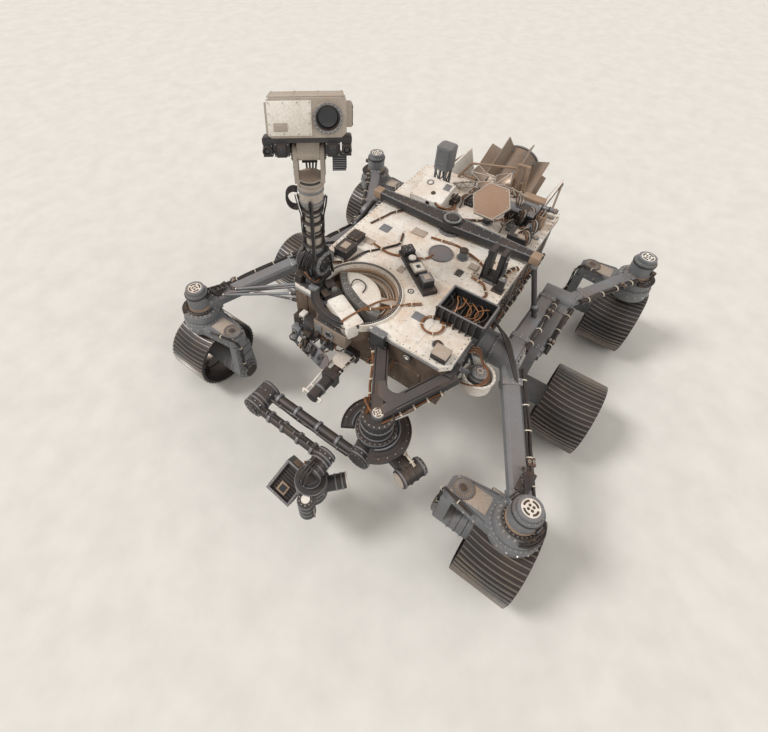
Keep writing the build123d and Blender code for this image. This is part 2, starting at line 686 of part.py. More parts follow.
def arm_link(x, near_y, far_y, far_width, far_radius):
    """Arm tube between two level housings."""
    middle = x + JOINT_W / 4
    link = bar((x, near_y, ARM_AXIS_Z), (x + JOINT_W / 2, near_y, ARM_AXIS_Z), JOINT_R)
    link += bar((middle, near_y, ARM_AXIS_Z), (middle, far_y, ARM_AXIS_Z), ARM_TUBE_R)
    return link + bar((x, far_y, ARM_AXIS_Z), (x + far_width, far_y, ARM_AXIS_Z), far_radius)


def wrist():
    """Short housing that hangs the turret."""
    housing = bar((WRIST_X, WRIST_Y, ARM_AXIS_Z), (TURRET_X, WRIST_Y, ARM_AXIS_Z), WRIST_R)
    return housing + disc(TURRET_X, WRIST_Y, TURRET_TOP, ARM_AXIS_Z, WRIST_R)


def turret():
    """Tool drum with a framed instrument, a drill, a sensor block and a slanted camera around it."""
    length, width, height = TOOL_BOX_SIZE
    rim = 2 * TOOL_BOX_FRAME
    window = Pos(0, 0, (height - TOOL_BOX_DEEP) / 2) * Box(length - rim, width - rim, TOOL_BOX_DEEP)
    framed = Rot(X=-TOOL_BOX_TURN / 2, Y=TOOL_BOX_TURN) * (Box(length, width, height) - window)
    whole = disc(0, 0, -TURRET_H, 0, TURRET_R) + Pos(*TOOL_BOX_AT) * framed
    whole += disc(*DRILL_AT, -DRILL_END, -DRILL_TOP, DRILL_R)
    whole += block(SENSOR_LOW, SENSOR_HIGH) + bar(CLOSE_CAMERA_FROM, CLOSE_CAMERA_TO, CLOSE_CAMERA_R)
    return Pos(TURRET_X, WRIST_Y, TURRET_TOP - GAP) * whole


def hga_post():
    """Post of the high-gain antenna."""
    return disc(HGA_X, HGA_Y, DECK_TOP, DECK_TOP + HGA_POST_H, HGA_POST_R)


def hga_yoke():
    """Turning yoke of the antenna."""
    base = DECK_TOP + HGA_POST_H + GAP
    top = HGA_Z - HGA_POST_R
    low = top - HGA_EAR_R
    half, reach = HGA_EAR_R, HGA_EAR_Y + HGA_EAR_T
    yoke = disc(HGA_X, HGA_Y, base, base + HGA_COLLAR_H, HGA_POST_R)
    yoke += block((HGA_X - half, HGA_Y - half, base + HGA_COLLAR_H), (HGA_X + half, HGA_Y + half, top))
    yoke += block((HGA_X - half, HGA_Y - reach, low), (HGA_X + half, HGA_Y + reach, top))
    for side in (-1, 1):
        inner, outer = HGA_Y + side * HGA_EAR_Y, HGA_Y + side * reach
        yoke += block((HGA_X - half, min(inner, outer), low), (HGA_X + half, max(inner, outer), HGA_Z))
        yoke += bar((HGA_X, inner, HGA_Z), (HGA_X, outer, HGA_Z), half)
    return yoke


def hga_plate():
    """Six-sided antenna plate with its raised rim on the tilt axle."""
    ear, rim = HGA_EAR_Y - GAP, HGA_EAR_T / 2
    axle = bar((0, -ear, 0), (0, ear, 0), HGA_AXLE_R)
    stem = block((-HGA_EAR_T, -ear, 0), (HGA_EAR_T, ear, HGA_OFF))
    hexagon = Rot(Z=30) * RegularPolygon(HGA_R, 6)
    face = Rot(Z=30) * RegularPolygon(HGA_R - rim, 6)
    plate = extrude(hexagon, HGA_T) - Pos(0, 0, HGA_T - rim / 2) * extrude(face, rim)
    return Pos(HGA_X, HGA_Y, HGA_Z) * Rot(Y=HGA_TILT) * (axle + stem + Pos(0, 0, HGA_OFF) * plate)


def uhf_antenna():
    """Post antenna on thin legs."""
    low = DECK_TOP + UHF_RISE
    body = Pos(UHF_X, UHF_Y, low) * extrude(octagon(UHF_W, UHF_W, UHF_CORNER), UHF_H)
    spread = UHF_W / 2 - 2 * UHF_LEG_R
    for dx, dy in ((-1, -1), (-1, 1), (1, -1), (1, 1)):
        body += disc(UHF_X + dx * spread, UHF_Y + dy * spread, DECK_TOP, low, UHF_LEG_R)
    return body


def power_source():
    """Finned round power source behind the body, its rear end up."""
    core = Cylinder(POWER_R, POWER_L, align=(MID, MID, LOW))
    root = POWER_R - POWER_FIN_T
    fin = Pos(root, -POWER_FIN_T / 2, POWER_FIN_END) * Box(
        POWER_FIN_R - root, POWER_FIN_T, POWER_L - 2 * POWER_FIN_END, align=(LOW, LOW, LOW)
    )
    for i in range(POWER_FINS):
        core += Rot(Z=360 * (i + 0.5) / POWER_FINS) * fin
    return Pos(POWER_X, 0, POWER_Z) * Rot(Y=POWER_TILT - 90) * core


def power_cradle():
    """Bracket from the body's rear wall to the power source."""
    low = (POWER_X - CRADLE_HALF, -CRADLE_HALF, POWER_Z - CRADLE_HALF)
    return block(low, (BODY_REAR, CRADLE_HALF, POWER_Z + CRADLE_HALF / 2))


def heat_panel():
    """Left slanted white panel beside the power source, on two arms from the body's rear wall."""
    panel = Pos(BODY_REAR - PANEL_L - PANEL_GAP, PANEL_Y, PANEL_Z) * Rot(X=-PANEL_LEAN) * Box(
        PANEL_L, PANEL_T, PANEL_H, align=(LOW, LOW, LOW)
    )
    for rise in (PANEL_ARM_RISE, PANEL_H - PANEL_ARM_RISE):
        z = PANEL_Z + rise * cos(radians(PANEL_LEAN))
        y = PANEL_Y + rise * sin(radians(PANEL_LEAN)) + PANEL_T / 2
        start = (BODY_REAR - 2 * PANEL_GAP, y - PANEL_T, z - PANEL_T)
        panel += block(start, (BODY_REAR, y + PANEL_T, z + PANEL_T))
    return panel


def fin_box():
    """Open box on the deck's left side with upright fins on its front."""
    wall = FIN_BOX_WALL
    box = standing(FIN_BOX_X, FIN_BOX_Y, DECK_TOP, FIN_BOX_L, FIN_BOX_W, FIN_BOX_H)
    length, width = FIN_BOX_L - 2 * wall, FIN_BOX_W - 2 * wall
    box -= standing(FIN_BOX_X, FIN_BOX_Y, DECK_TOP + wall, length, width, FIN_BOX_H)
    front = FIN_BOX_X + FIN_BOX_L / 2 + FIN_D / 2
    pitch = (FIN_BOX_W - FIN_T) / (FIN_COUNT - 1)
    for i in range(FIN_COUNT):
        y = FIN_BOX_Y - FIN_BOX_W / 2 + FIN_T / 2 + i * pitch
        box += standing(front, y, DECK_TOP, FIN_D, FIN_T, FIN_BOX_H)
    return box


def deck_fork():
    """Tall fork on the deck and the low stop beside it."""
    fork = standing(FORK_X, FORK_Y, DECK_TOP, FORK_L, FORK_W, FORK_H)
    fork -= standing(FORK_X, FORK_Y, DECK_TOP + FORK_SLOT, 2 * FORK_L, FORK_SLOT, FORK_H)
    stop = standing(STOP_X, STOP_Y, DECK_TOP, FORK_SLOT, FORK_SLOT, STOP_H)
    return Compound([*fork.solids(), *stop.solids()])


def deck_rail():
    """Row of small boxes, slantwise along the middle of the deck."""
    rail = Box(RAIL_L, RAIL_W, RAIL_H, align=(MID, MID, LOW))
    # (place along it, length, width, height)
    boxes = ((-160, 64, 74, 66), (-88, 48, 56, 48), (4, 108, 80, 54), (128, 78, 66, 80))
    for along, length, width, height in boxes:
        rail += standing(along, 0, 0, length, width, height)
    return Pos(RAIL_X, RAIL_Y, DECK_TOP) * Rot(Z=RAIL_TURN) * rail


def deck_plate():
    """Flat round plate on the deck with a knob beside it."""
    plate = disc(PLATE_X, PLATE_Y, DECK_TOP, DECK_TOP + PLATE_H, PLATE_R)
    knob = disc(KNOB_X, KNOB_Y, DECK_TOP, DECK_TOP + KNOB_H, KNOB_R)
    return Compound([*plate.solids(), *knob.solids()])


def deck_boxes():
    """Loose boxes on the deck: the corner camera, the gear beside the mast and behind the antenna."""
    # (x, y, length, width, height)
    places = (
        (762, 470, 70, 88, 48),
        (404, -430, 120, 96, 62),
        (262, -452, 96, 84, 44),
        (-372, 420, 110, 130, 74),
        (-640, 330, 150, 190, 86),
        (-700, 60, 120, 160, 58),
    )
    boxes = [standing(x, y, DECK_TOP, length, width, height) for x, y, length, width, height in places]
    return Compound([solid for box in boxes for solid in box.solids()])


def rear_box():
    """White box with a sloping top behind the differential."""
    x0, x1 = REAR_BOX_X - REAR_BOX_L / 2, REAR_BOX_X + REAR_BOX_L / 2
    corners = [(x0, DECK_TOP), (x1, DECK_TOP), (x1, DECK_TOP + REAR_BOX_LOW), (x0, DECK_TOP + REAR_BOX_HIGH)]
    side = make_face(Polyline(*corners, close=True))
    return seen_from_side(side, REAR_BOX_Y + REAR_BOX_W / 2, REAR_BOX_W)


def side_canister():
    """Casting on the body's left wall that carries an upright ringed canister."""
    x, y = CANISTER_X, BODY_HALF_W + CANISTER_OUT
    low = CANISTER_TOP - CANISTER_H
    foot = low - CASTING_T
    half = CASTING_L / 2
    casting = block((x - half, BODY_HALF_W, foot), (x + half, BODY_HALF_W + CASTING_T, low + CASTING_H))
    casting += block((x - CANISTER_R, BODY_HALF_W, foot), (x + CANISTER_R, y, low))
    canister = disc(x, y, foot, CANISTER_TOP, CANISTER_R)
    ring_top = CANISTER_TOP - CANISTER_RING
    return casting + canister + disc(x, y, ring_top - CANISTER_RING, ring_top, CANISTER_R + CANISTER_RING)


def front_post():
    """Round post ahead of the body's front wall, with a square cap on it."""
    half = POST_CAP / 2
    whole = bar((BODY_FRONT, POST_Y, POST_Z), (POST_REACH, POST_Y, POST_Z), POST_R)
    # (start, length) of its cap and of its foot
    for start, length in ((POST_CAP_X, half), (BODY_FRONT, POST_R)):
        low = (start, POST_Y - half, POST_Z - half)
        whole += block(low, (start + length, POST_Y + half, POST_Z + half))
    return whole


pieces = {
    "body_box": body_box(),
    "belly_pan": belly_pan(),
    "deck": deck(),
    "port_carousel": carousel(),
    "differential_bar": differential(),
    "rocker_left": rocker(),
    "bogie_left": bogie(),
    "mast_base": mast_base(),
    "mast_tube": mast_tube(),
    "mast_neck": mast_neck(),
    "mast_head": mast_head(),
    "head_cameras": head_cameras(),
    "arm_bracket": arm_bracket(),
    "arm_base": arm_base(),
    "arm_shoulder": shoulder(),
    "arm_upper": arm_link(UPPER_X, ARM_Y, ELBOW_Y, JOINT_W, JOINT_R),
    "arm_fore": arm_link(FORE_X, ELBOW_Y, WRIST_Y, JOINT_W / 2, WRIST_R),
    "arm_wrist": wrist(),
    "arm_turret": turret(),
    "antenna_post": hga_post(),
    "antenna_yoke": hga_yoke(),
    "antenna_plate": hga_plate(),
    "post_antenna": uhf_antenna(),
    "power_source": power_source(),
    "power_cradle": power_cradle(),
    "heat_panel_left": heat_panel(),
    "fin_box": fin_box(),
    "deck_fork": deck_fork(),
    "deck_rail": deck_rail(),
    "deck_plate": deck_plate(),
    "deck_boxes": deck_boxes(),
    "rear_box": rear_box(),
    "side_canister": side_canister(),
    "front_post": front_post(),
}
for name, x in (("front", FRONT_X), ("middle", MIDDLE_X), ("rear", REAR_X)):
    pieces[f"wheel_left_{name}"] = wheel(x)
    if name != "middle":
        pieces[f"knuckle_left_{name}"] = knuckle(x)
        pieces[f"steering_motor_left_{name}"] = steering_motor(x)
for name in [key for key in pieces if "_left" in key]:
    pieces[name.replace("_left", "_right")] = mirror(pieces[name], about=Plane.XZ)

# A later piece is cut to the shape of the one that carries it
SEATED_ON = (
    ("mast_tube", "mast_base"),
    ("power_cradle", "power_source"),
    ("power_source", "body_box"),
    ("head_cameras", "mast_head"),
    ("differential_bar", "rocker_left"),
    ("differential_bar", "rocker_right"),
    ("port_carousel", "body_box"),
)
for name, carrier in SEATED_ON:
    pieces[name] -= pieces[carrier]

boxes = [piece.bounding_box() for piece in pieces.values()]
middle_x = (min(box.min.X for box in boxes) + max(box.max.X for box in boxes)) / 2
os.makedirs("parts", exist_ok=True)
for name, piece in pieces.items():
    export_step(Pos(-middle_x, 0, 0) * piece, f"parts/{name}.step")
print("moved back by", round(middle_x, 2))
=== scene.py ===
from itertools import product
from math import atan2, cos, degrees, pi, radians, sin, tan
from random import Random

import bmesh
import bpy
from bpy.props import FloatProperty, FloatVectorProperty, IntProperty, PointerProperty
from mathutils import Matrix, Vector


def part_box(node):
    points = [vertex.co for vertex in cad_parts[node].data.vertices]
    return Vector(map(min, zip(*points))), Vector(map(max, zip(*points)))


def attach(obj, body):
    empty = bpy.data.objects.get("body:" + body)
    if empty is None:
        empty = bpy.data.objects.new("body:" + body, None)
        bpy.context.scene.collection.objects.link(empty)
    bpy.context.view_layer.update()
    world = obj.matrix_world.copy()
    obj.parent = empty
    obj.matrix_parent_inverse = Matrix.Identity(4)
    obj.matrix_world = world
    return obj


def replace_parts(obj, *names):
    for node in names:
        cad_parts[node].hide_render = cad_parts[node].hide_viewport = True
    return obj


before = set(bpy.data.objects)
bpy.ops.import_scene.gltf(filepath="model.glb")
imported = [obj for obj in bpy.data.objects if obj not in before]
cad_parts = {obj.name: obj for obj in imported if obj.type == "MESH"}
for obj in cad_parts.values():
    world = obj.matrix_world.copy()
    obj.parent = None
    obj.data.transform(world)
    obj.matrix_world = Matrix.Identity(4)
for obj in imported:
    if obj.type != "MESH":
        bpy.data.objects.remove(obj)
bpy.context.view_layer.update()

bl_info = {
    "name": "Planetary rover looks",
    "version": (1, 0, 0),
    "blender": (4, 5, 0),
    "location": "3D View > Sidebar > Rover",
    "description": "Adds materials, fittings and cables to the six-wheeled rover",
    "category": "Object",
}

# The script models in the CAD's millimetres, +X forward, +Y left, and places each mesh in metres.
MM = 0.001
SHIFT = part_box("deck")[0][0] / MM + 860.0  # the deck's rear edge is 860 mm behind the middle wheels
PLACE = Matrix.Scale(MM, 4) @ Matrix.Translation((SHIFT, 0, 0))
DECK_TOP = 1120.0
SIDES = (("left", 1), ("right", -1))
CORNERS = (("front", 1100.0), ("rear", -1080.0))
HALF_TRACK = 1185.0
WHEEL_Z = 262.5
ARM_Z = 635.7
SHOULDER = (1140, 340)
PORT = (645, -150)
AHEAD, BACK = (1, 0, 0), (-1, 0, 0)
LEFT, RIGHT = (0, 1, 0), (0, -1, 0)
UP, DOWN = (0, 0, 1), (0, 0, -1)
SCRATCH = bpy.data.meshes.new("scratch")


def linear(code):
    """Turns an sRGB hex colour to linear values."""
    parts = [int(code[i : i + 2], 16) / 255 for i in (1, 3, 5)]
    return tuple(c / 12.92 if c <= 0.04045 else ((c + 0.055) / 1.055) ** 2.4 for c in parts)


# Materials


def put(tree, kind, links=(), **settings):
    """Adds a node with its settings, its constant inputs and its links."""
    node = tree.nodes.new(kind)
    for key, value in settings.items():
        if hasattr(node, key):
            setattr(node, key, value)
        else:
            node.inputs[key.replace("_", " ")].default_value = value
    for source, target in links:
        tree.links.new(source, node.inputs[target])
    return node


def surface(name, base, second, grain, rough, metallic=0.0, bump=0.0, stretch=(1, 1, 1), dust=0.0, edge=0.0,
            specks=None, coat=0.0):
    """Makes a material of two colours with dust on what faces up; grain, bump and the rounded edge are in mm."""
    colours = bpy.context.scene.rover_colours
    base = linear(base) if base.startswith("#") else getattr(colours, base)
    material = bpy.data.materials.new(name)
    material.use_nodes = True
    tree = material.node_tree
    shader = tree.nodes["Principled BSDF"]
    shader.inputs["Metallic"].default_value = metallic
    shader.inputs["Coat Weight"].default_value = coat
    coords = put(tree, "ShaderNodeTexCoord")
    mapping = put(tree, "ShaderNodeMapping", [(coords.outputs["Object"], "Vector")], Scale=stretch)
    noise = put(tree, "ShaderNodeTexNoise", [(mapping.outputs[0], "Vector")], Scale=1 / (grain * MM), Detail=4.0)
    broad = put(tree, "ShaderNodeTexNoise", [(coords.outputs["Object"], "Vector")], Scale=6.0, Detail=3.0)
    both = put(tree, "ShaderNodeMath", [(noise.outputs[0], 0), (broad.outputs[0], 1)], operation="ADD")
    ramp = put(tree, "ShaderNodeMapRange", [(both.outputs[0], 0)], From_Min=0.75, From_Max=1.25)
    colour = put(tree, "ShaderNodeMix", [(ramp.outputs[0], 0)], data_type="RGBA")
    colour.inputs[6].default_value = (*base, 1)
    colour.inputs[7].default_value = (*linear(second), 1)
    last = colour.outputs[2]
    if specks:
        size, share, tint = specks
        cells = put(tree, "ShaderNodeTexVoronoi", [(coords.outputs["Object"], "Vector")], Scale=1 / (size * MM))
        spot = put(tree, "ShaderNodeMath", [(cells.outputs["Distance"], 0)], operation="LESS_THAN")
        spot.inputs[1].default_value = share
        keep = put(tree, "ShaderNodeMath", [(spot.outputs[0], 0), (noise.outputs[0], 1)], operation="MULTIPLY")
        mixed = put(tree, "ShaderNodeMix", [(keep.outputs[0], 0), (last, 6)], data_type="RGBA")
        mixed.inputs[7].default_value = (*linear(tint), 1)
        last = mixed.outputs[2]
    if dust:
        normal = put(tree, "ShaderNodeSeparateXYZ", [(coords.outputs["Normal"], 0)])
        lying = put(tree, "ShaderNodeMapRange", [(normal.outputs[2], 0)], From_Min=0.1, From_Max=0.9, To_Max=dust)
        blown = put(tree, "ShaderNodeMapRange", [(broad.outputs[0], 0)], From_Min=0.3, From_Max=0.7, To_Min=0.35)
        film = put(tree, "ShaderNodeMath", [(lying.outputs[0], 0), (blown.outputs[0], 1)], operation="MULTIPLY")
        thin = put(tree, "ShaderNodeMath", [(film.outputs[0], 0), (blown.outputs[0], 1)], operation="MULTIPLY_ADD")
        thin.inputs[1].default_value = 1.0
        thin.inputs[2].default_value = dust * 0.12
        mixed = put(tree, "ShaderNodeMix", [(thin.outputs[0], 0), (last, 6)], data_type="RGBA")
        mixed.inputs[7].default_value = (*colours.dust, 1)
        last = mixed.outputs[2]
    tree.links.new(last, shader.inputs["Base Color"])
    rub = put(tree, "ShaderNodeMapRange", [(noise.outputs[0], 0)], To_Min=max(rough - 0.12, 0.05),
              To_Max=min(rough + 0.12, 1))
    tree.links.new(rub.outputs[0], shader.inputs["Roughness"])
    rounded = put(tree, "ShaderNodeBevel", Radius=edge * MM) if edge else None
    if bump:
        links = [(noise.outputs[0], "Height")] + ([(rounded.outputs[0], "Normal")] if edge else [])
        rounded = put(tree, "ShaderNodeBump", links, Distance=bump * MM, Strength=1.0)
    if rounded:
        tree.links.new(rounded.outputs[0], shader.inputs["Normal"])
    return material


CLEAR = "aluminium_clear_anodised"
BLACK = "aluminium_black_anodised"
BLUE = "aluminium_blue_grey"
SKIN = "aluminium_wheel_skin"
LUG = "aluminium_lug_painted_highlight"
DECK = "paint_white_deck"
WHITE = "paint_white"
WARM = "paint_warm_grey"
WALL = "paint_dusty_wall"
SAND_AND_SHADE = "paint_sanded_fins"
FLOOR = "paint_studio_floor"
RADOME = "fibre_radome_tan"
BROWN = "composite_pale_brown"
TITANIUM = "titanium_brushed"
STEEL = "steel_passivated"
COPPER = "polyimide_copper"
SLEEVE = "sleeve_grey_braided"
JACKET = "jacket_black_extruded"
TIE = "nylon_tie_laced"
GLASS = "glass_coated_lens"
PLASTIC = "plastic_black_moulded"

# A base colour is one of the user's colours by name, or a colour of its own
RECIPES = {
    # Bead-blasted, clear anodised aluminium tube: even light grey, soft sheen, warm dust on top
    CLEAR: dict(base="tube", second="#6C6F73", grain=5, metallic=0.35, rough=0.5, bump=0.15, dust=0.14, edge=4),
    # Milled aluminium, black anodised: near black, dull shine, dust clings to it
    BLACK: dict(base="dark", second="#33363A", grain=4, metallic=0.4, rough=0.48, bump=0.12, dust=0.12, edge=4),
    # Blue-grey anodised instrument plate
    BLUE: dict(base="#7E8790", second="#646C74", grain=6, metallic=0.4, rough=0.5, bump=0.1, dust=0.3, edge=2),
    # Rolled and milled aluminium wheel skin: dark grey, rubbed by stones along its turn, with tan dust
    SKIN: dict(base="wheel", second="#2A2B2E", grain=9, metallic=0.4, rough=0.5, bump=0.3, stretch=(1, 0.15, 1),
               dust=0.08, edge=2),
    # Lug crests: lighter grey than the skin as painted highlight of the sky's reflection, packed with tan dust
    LUG: dict(base="#6B6C6E", second="#8A8075", grain=7, metallic=0.6, rough=0.4, bump=0.3, dust=0.06),
    # Sprayed white thermal paint on aluminium: matt cream white, dust film and dark specks of grit
    DECK: dict(base="deck", second="#DCD1C1", grain=30, rough=0.72, bump=0.15, dust=0.3, edge=4,
               specks=(26, 0.16, "#5C4A3D")),
    # The same paint on small parts, which stay cleaner
    WHITE: dict(base="deck", second="#DAD3C8", grain=12, rough=0.62, bump=0.1, dust=0.25, edge=3),
    # Warm grey paint on machined boxes
    WARM: dict(base="#B4ABA0", second="#A0978C", grain=10, rough=0.58, bump=0.1, dust=0.3, edge=4),
    # Dust-coated painted wall: brown grey, blotched
    WALL: dict(base="#6E5F53", second="#55493F", grain=40, rough=0.8, bump=0.3, dust=0.4, edge=4),
    # Sand-dusted fins and end plates of the power source: brown grey, matt
    # On the white block below the port's front edge this brown grey is painted shade
    SAND_AND_SHADE: dict(base="#8D8074", second="#75685D", grain=12, rough=0.7, bump=0.15, dust=0.25, edge=3),
    # Sprayed matt studio floor: pale and plain, with a faint mottle
    FLOOR: dict(base="floor", second="#D6D2CB", grain=300, rough=0.85),
    # Moulded quartz-fibre radome, tan, with a fine weave
    RADOME: dict(base="#9C7F6A", second="#8A6C58", grain=6, rough=0.6, bump=0.2, dust=0.2),
    # Edge of rib-stiffened honeycomb panel: pale brown, matt
    BROWN: dict(base="#A58C76", second="#8A7360", grain=8, rough=0.7, bump=0.3, dust=0.2, edge=3),
    # Titanium spring strip: warm grey metal, brushed along its length
    TITANIUM: dict(base="#8D8882", second="#6F6963", grain=3, metallic=0.8, rough=0.4, bump=0.1, stretch=(1, 0.2, 1),
                   dust=0.3, edge=2),
    # Passivated steel screw heads: pale and glossy
    STEEL: dict(base="#D9D4CC", second="#A39D94", grain=5, metallic=0.7, rough=0.35, bump=0.05),
    # Polyimide film wrapped round flat cable: copper orange with a glossy face
    COPPER: dict(base="copper", second="#6F4425", grain=14, metallic=0.2, rough=0.35, bump=0.3, dust=0.15),
    # Woven grey sleeve on wire bundles, drawn coarse enough to show
    SLEEVE: dict(base="#7F7A74", second="#54504B", grain=5, rough=0.75, bump=0.6, stretch=(2, 0.6, 2)),
    # Extruded black jacket on cables: matt black with a faint sheen
    JACKET: dict(base="#17181A", second="#2C2D2F", grain=8, rough=0.5, bump=0.2, dust=0.08),
    # Laced pale nylon tie
    TIE: dict(base="#E6DCCB", second="#C9BCA7", grain=4, rough=0.6, bump=0.2),
    # Coated lens glass behind its hood: near black, mirror smooth, blue cast
    GLASS: dict(base="#0A0D14", second="#1A2230", grain=60, rough=0.13, coat=1.0),
    # Moulded black plastic and baffles
    PLASTIC: dict(base="#1B1A19", second="#2C2A28", grain=3, rough=0.6, bump=0.1, dust=0.15, edge=2),
}
MADE = {}


def matter(name):
    """Gives a material by name, and makes it when it is first asked for."""
    if name not in MADE:
        MADE[name] = surface(name, **RECIPES[name])
    return MADE[name]


# Modelling


class Form:
    """A piece being modelled in millimetres. Every part is put at self.at, and m names its material."""

    def __init__(self):
        self.bm = bmesh.new()
        self.at = Matrix()
        self.materials = []

    def slot(self, m):
        """Place of a material among the piece's own, in the order of their first use."""
        if m not in self.materials:
            self.materials.append(m)
        return self.materials.index(m)

    def take(self, part, m, turn=None):
        """Merges a part, which was modelled on its own, into the piece."""
        bmesh.ops.remove_doubles(part, verts=part.verts, dist=0.01)
        bmesh.ops.recalc_face_normals(part, faces=part.faces)
        if turn is not None:
            bmesh.ops.transform(part, matrix=turn, verts=part.verts)
        self.join(part, m)

    def join(self, part, m):
        """Copies a part's faces into the piece."""
        bmesh.ops.transform(part, matrix=self.at, verts=part.verts)
        for face in part.faces:
            face.material_index = self.slot(m)
        part.to_mesh(SCRATCH)
        part.free()
        self.bm.from_mesh(SCRATCH)

    def box(self, low, high, m, edge=0.0, turn=None, taper=None):
        """Box between two corners; taper scales its top."""
        low, high = Vector(low), Vector(high)
        middle = (low + high) / 2
        part = bmesh.new()
        bmesh.ops.create_cube(part, size=1, matrix=Matrix.Translation(middle) @ Matrix.Diagonal((*(high - low), 1)))
        if taper:
            top = [v for v in part.verts if v.co.z > middle.z]
            space = Matrix.Translation((-middle.x, -middle.y, 0))
            bmesh.ops.scale(part, vec=(*taper, 1), space=space, verts=top)
        if edge:
            bevel(part, part.edges[:], edge)
        self.take(part, m, turn)

    def slab(self, x, y, a, b, low, high, m, edge=0.0):
        """Box about (x, y) that reaches a and b to each side."""
        self.box((x - a, y - b, low), (x + a, y + b, high), m, edge)

    def beam(self, start, end, width, depth, m, edge=0.0):
        """Box along a line, with its width level."""
        start, end = Vector(start), Vector(end)
        along = (end - start).normalized()
        side = Vector(UP).cross(along)
        side = side.normalized() if side.length > 0.01 else Vector(LEFT)
        turn = Matrix((side, along.cross(side), along)).transposed().to_4x4()
        length = (end - start).length
        self.box((-width / 2, -depth / 2, 0), (width / 2, depth / 2, length), m, edge, Matrix.Translation(start) @ turn)

    def rod(self, start, end, radius, m, far=None, sides=20, edge=0.0):
        """Round bar between two points; far is its radius at the far end."""
        start, end = Vector(start), Vector(end)
        length = (end - start).length
        part = bmesh.new()
        bmesh.ops.create_cone(part, cap_ends=True, segments=sides, radius1=radius,
                              radius2=radius if far is None else far, depth=length)
        if edge:
            caps = [e for e in part.edges if abs(e.verts[0].co.z - e.verts[1].co.z) < 0.01]
            bevel(part, caps, edge)
        self.take(part, m, facing((start + end) / 2, end - start))

    def lathe(self, start, along, profile, m, steps=32, span=360.0, first=0.0):
        """Spins a profile of (radius, distance) about an axis; one that ends on the axis is a solid of revolution."""
        part = bmesh.new()
        verts = [part.verts.new((r, 0, z)) for r, z in profile]
        pairs = list(zip(verts, verts[1:])) + ([(verts[-1], verts[0])] if profile[-1][0] else [])
        edges = [part.edges.new(pair) for pair in pairs]
        whole = span >= 360
        bmesh.ops.rotate(part, cent=(0, 0, 0), matrix=Matrix.Rotation(radians(first), 3, "Z"), verts=verts)
        bmesh.ops.spin(part, geom=verts + edges, cent=(0, 0, 0), axis=(0, 0, 1), dvec=(0, 0, 0), angle=radians(span),
                       steps=steps, use_merge=whole)
        if not whole:
            bmesh.ops.holes_fill(part, edges=[e for e in part.edges if e.is_boundary])
        self.take(part, m, facing(start, along))

    def disc(self, centre, along, radius, height, m, steps=32):
        """Plain round plate."""
        self.lathe(centre, along, [(0, 0), (radius, 0), (radius, height), (0, height)], m, steps)

    def ring(self, start, along, outer, inner, height, m, steps=32, span=360.0, first=0.0, edge=0.0):
        """Flat ring of a height along its axis."""
        e = edge
        profile = [(inner, 0), (outer, 0), (outer, height), (inner, height)]
        if e:
            profile[1:3] = [(outer - e, 0), (outer, e), (outer, height - e), (outer - e, height)]
        self.lathe(start, along, profile, m, steps, span, first)

    def circle(self, start, along, radius, count, size, height, m=STEEL, first=0.0, sides=6):
        """Circle of screw heads."""
        part = bmesh.new()
        matrix = Matrix.Translation((radius, 0, height / 2))
        bmesh.ops.create_cone(part, cap_ends=True, segments=sides, radius1=size, radius2=size * 0.85, depth=height,
                              matrix=matrix)
        bmesh.ops.rotate(part, cent=(0, 0, 0), matrix=Matrix.Rotation(radians(first), 3, "Z"), verts=part.verts)
        if count > 1:
            repeat(part, count, UP)
        self.take(part, m, facing(start, along))

    def screws(self, places, along, size, height, m=STEEL):
        """Screw heads at places."""
        for place in places:
            self.circle(place, along, 0, 1, size, height, m)

    def flange(self, place, along, outer, inner, height, m, steps, edge, radius, count, size, head):
        """Flat ring with a circle of screws on its face."""
        self.ring(place, along, outer, inner, height, m, steps, edge=edge)
        self.circle(Vector(place) + Vector(along) * height, along, radius, count, size, head)

    def studs(self, centre, axis, radius, count, size, height, first=0.0):
        """Screw heads round a drum that point away from its axis."""
        for i in range(count):
            out = around(360 / count * i + first, axis)
            self.screws([Vector(centre) + out * radius], out, size, height)

    def plug(self, place, out, length, radius, m, base, collar, thick, sides=14, edge=1.5):
        """Round connector with a steel collar of a radius and thickness, a little way out along it."""
        place, out = Vector(place), Vector(out)
        self.rod(place, place + out * length, radius, m, sides=sides, edge=edge)
        self.ring(place + out * base, out, collar, radius - 0.5, thick, STEEL, sides)

    def cable(self, points, radius, m, sides=3):
        """Round cable through points."""
        self.join(swept(points, radius, sides), m)

    def done(self, name, body):
        """Turns the piece to an object that rides on a body."""
        bm = self.bm
        bmesh.ops.transform(bm, matrix=PLACE, verts=bm.verts)
        for face in bm.faces:
            face.smooth = True
        for edge in bm.edges:
            edge.smooth = len(edge.link_faces) == 2 and edge.calc_face_angle(0) < radians(34)
        mesh = bpy.data.meshes.new(name)
        bm.to_mesh(mesh)
        bm.free()
        for material in self.materials:
            mesh.materials.append(matter(material))
        piece = placed(name, mesh)
        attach(piece, body)
        return piece


def placed(name, data):
    """New object in the scene."""
    holder = bpy.data.objects.new(name, data)
    bpy.context.scene.collection.objects.link(holder)
    return holder


def bevel(part, edges, width):
    """Rounds a part's edges."""
    bmesh.ops.bevel(part, geom=edges, offset=width, offset_type="OFFSET", segments=2, profile=0.5, affect="EDGES",
                    clamp_overlap=True, material=-1)


def grid(*axes):
    """Points at every mix of the places along x, y and z, where a lone number is one place."""
    return list(product(*(axis if isinstance(axis, (tuple, range)) else (axis,) for axis in axes)))


def corners(x, y, z, a, b):
    """Four places about (x, y), a and b away."""
    return grid((x - a, x + a), (y - b, y + b), z)


def around(turn, axis=UP):
    """Unit vector at an angle in degrees about one of the three axes."""
    a, b = cos(radians(turn)), sin(radians(turn))
    return Vector({UP: (a, b, 0), LEFT: (a, 0, b), AHEAD: (0, a, b)}[axis])


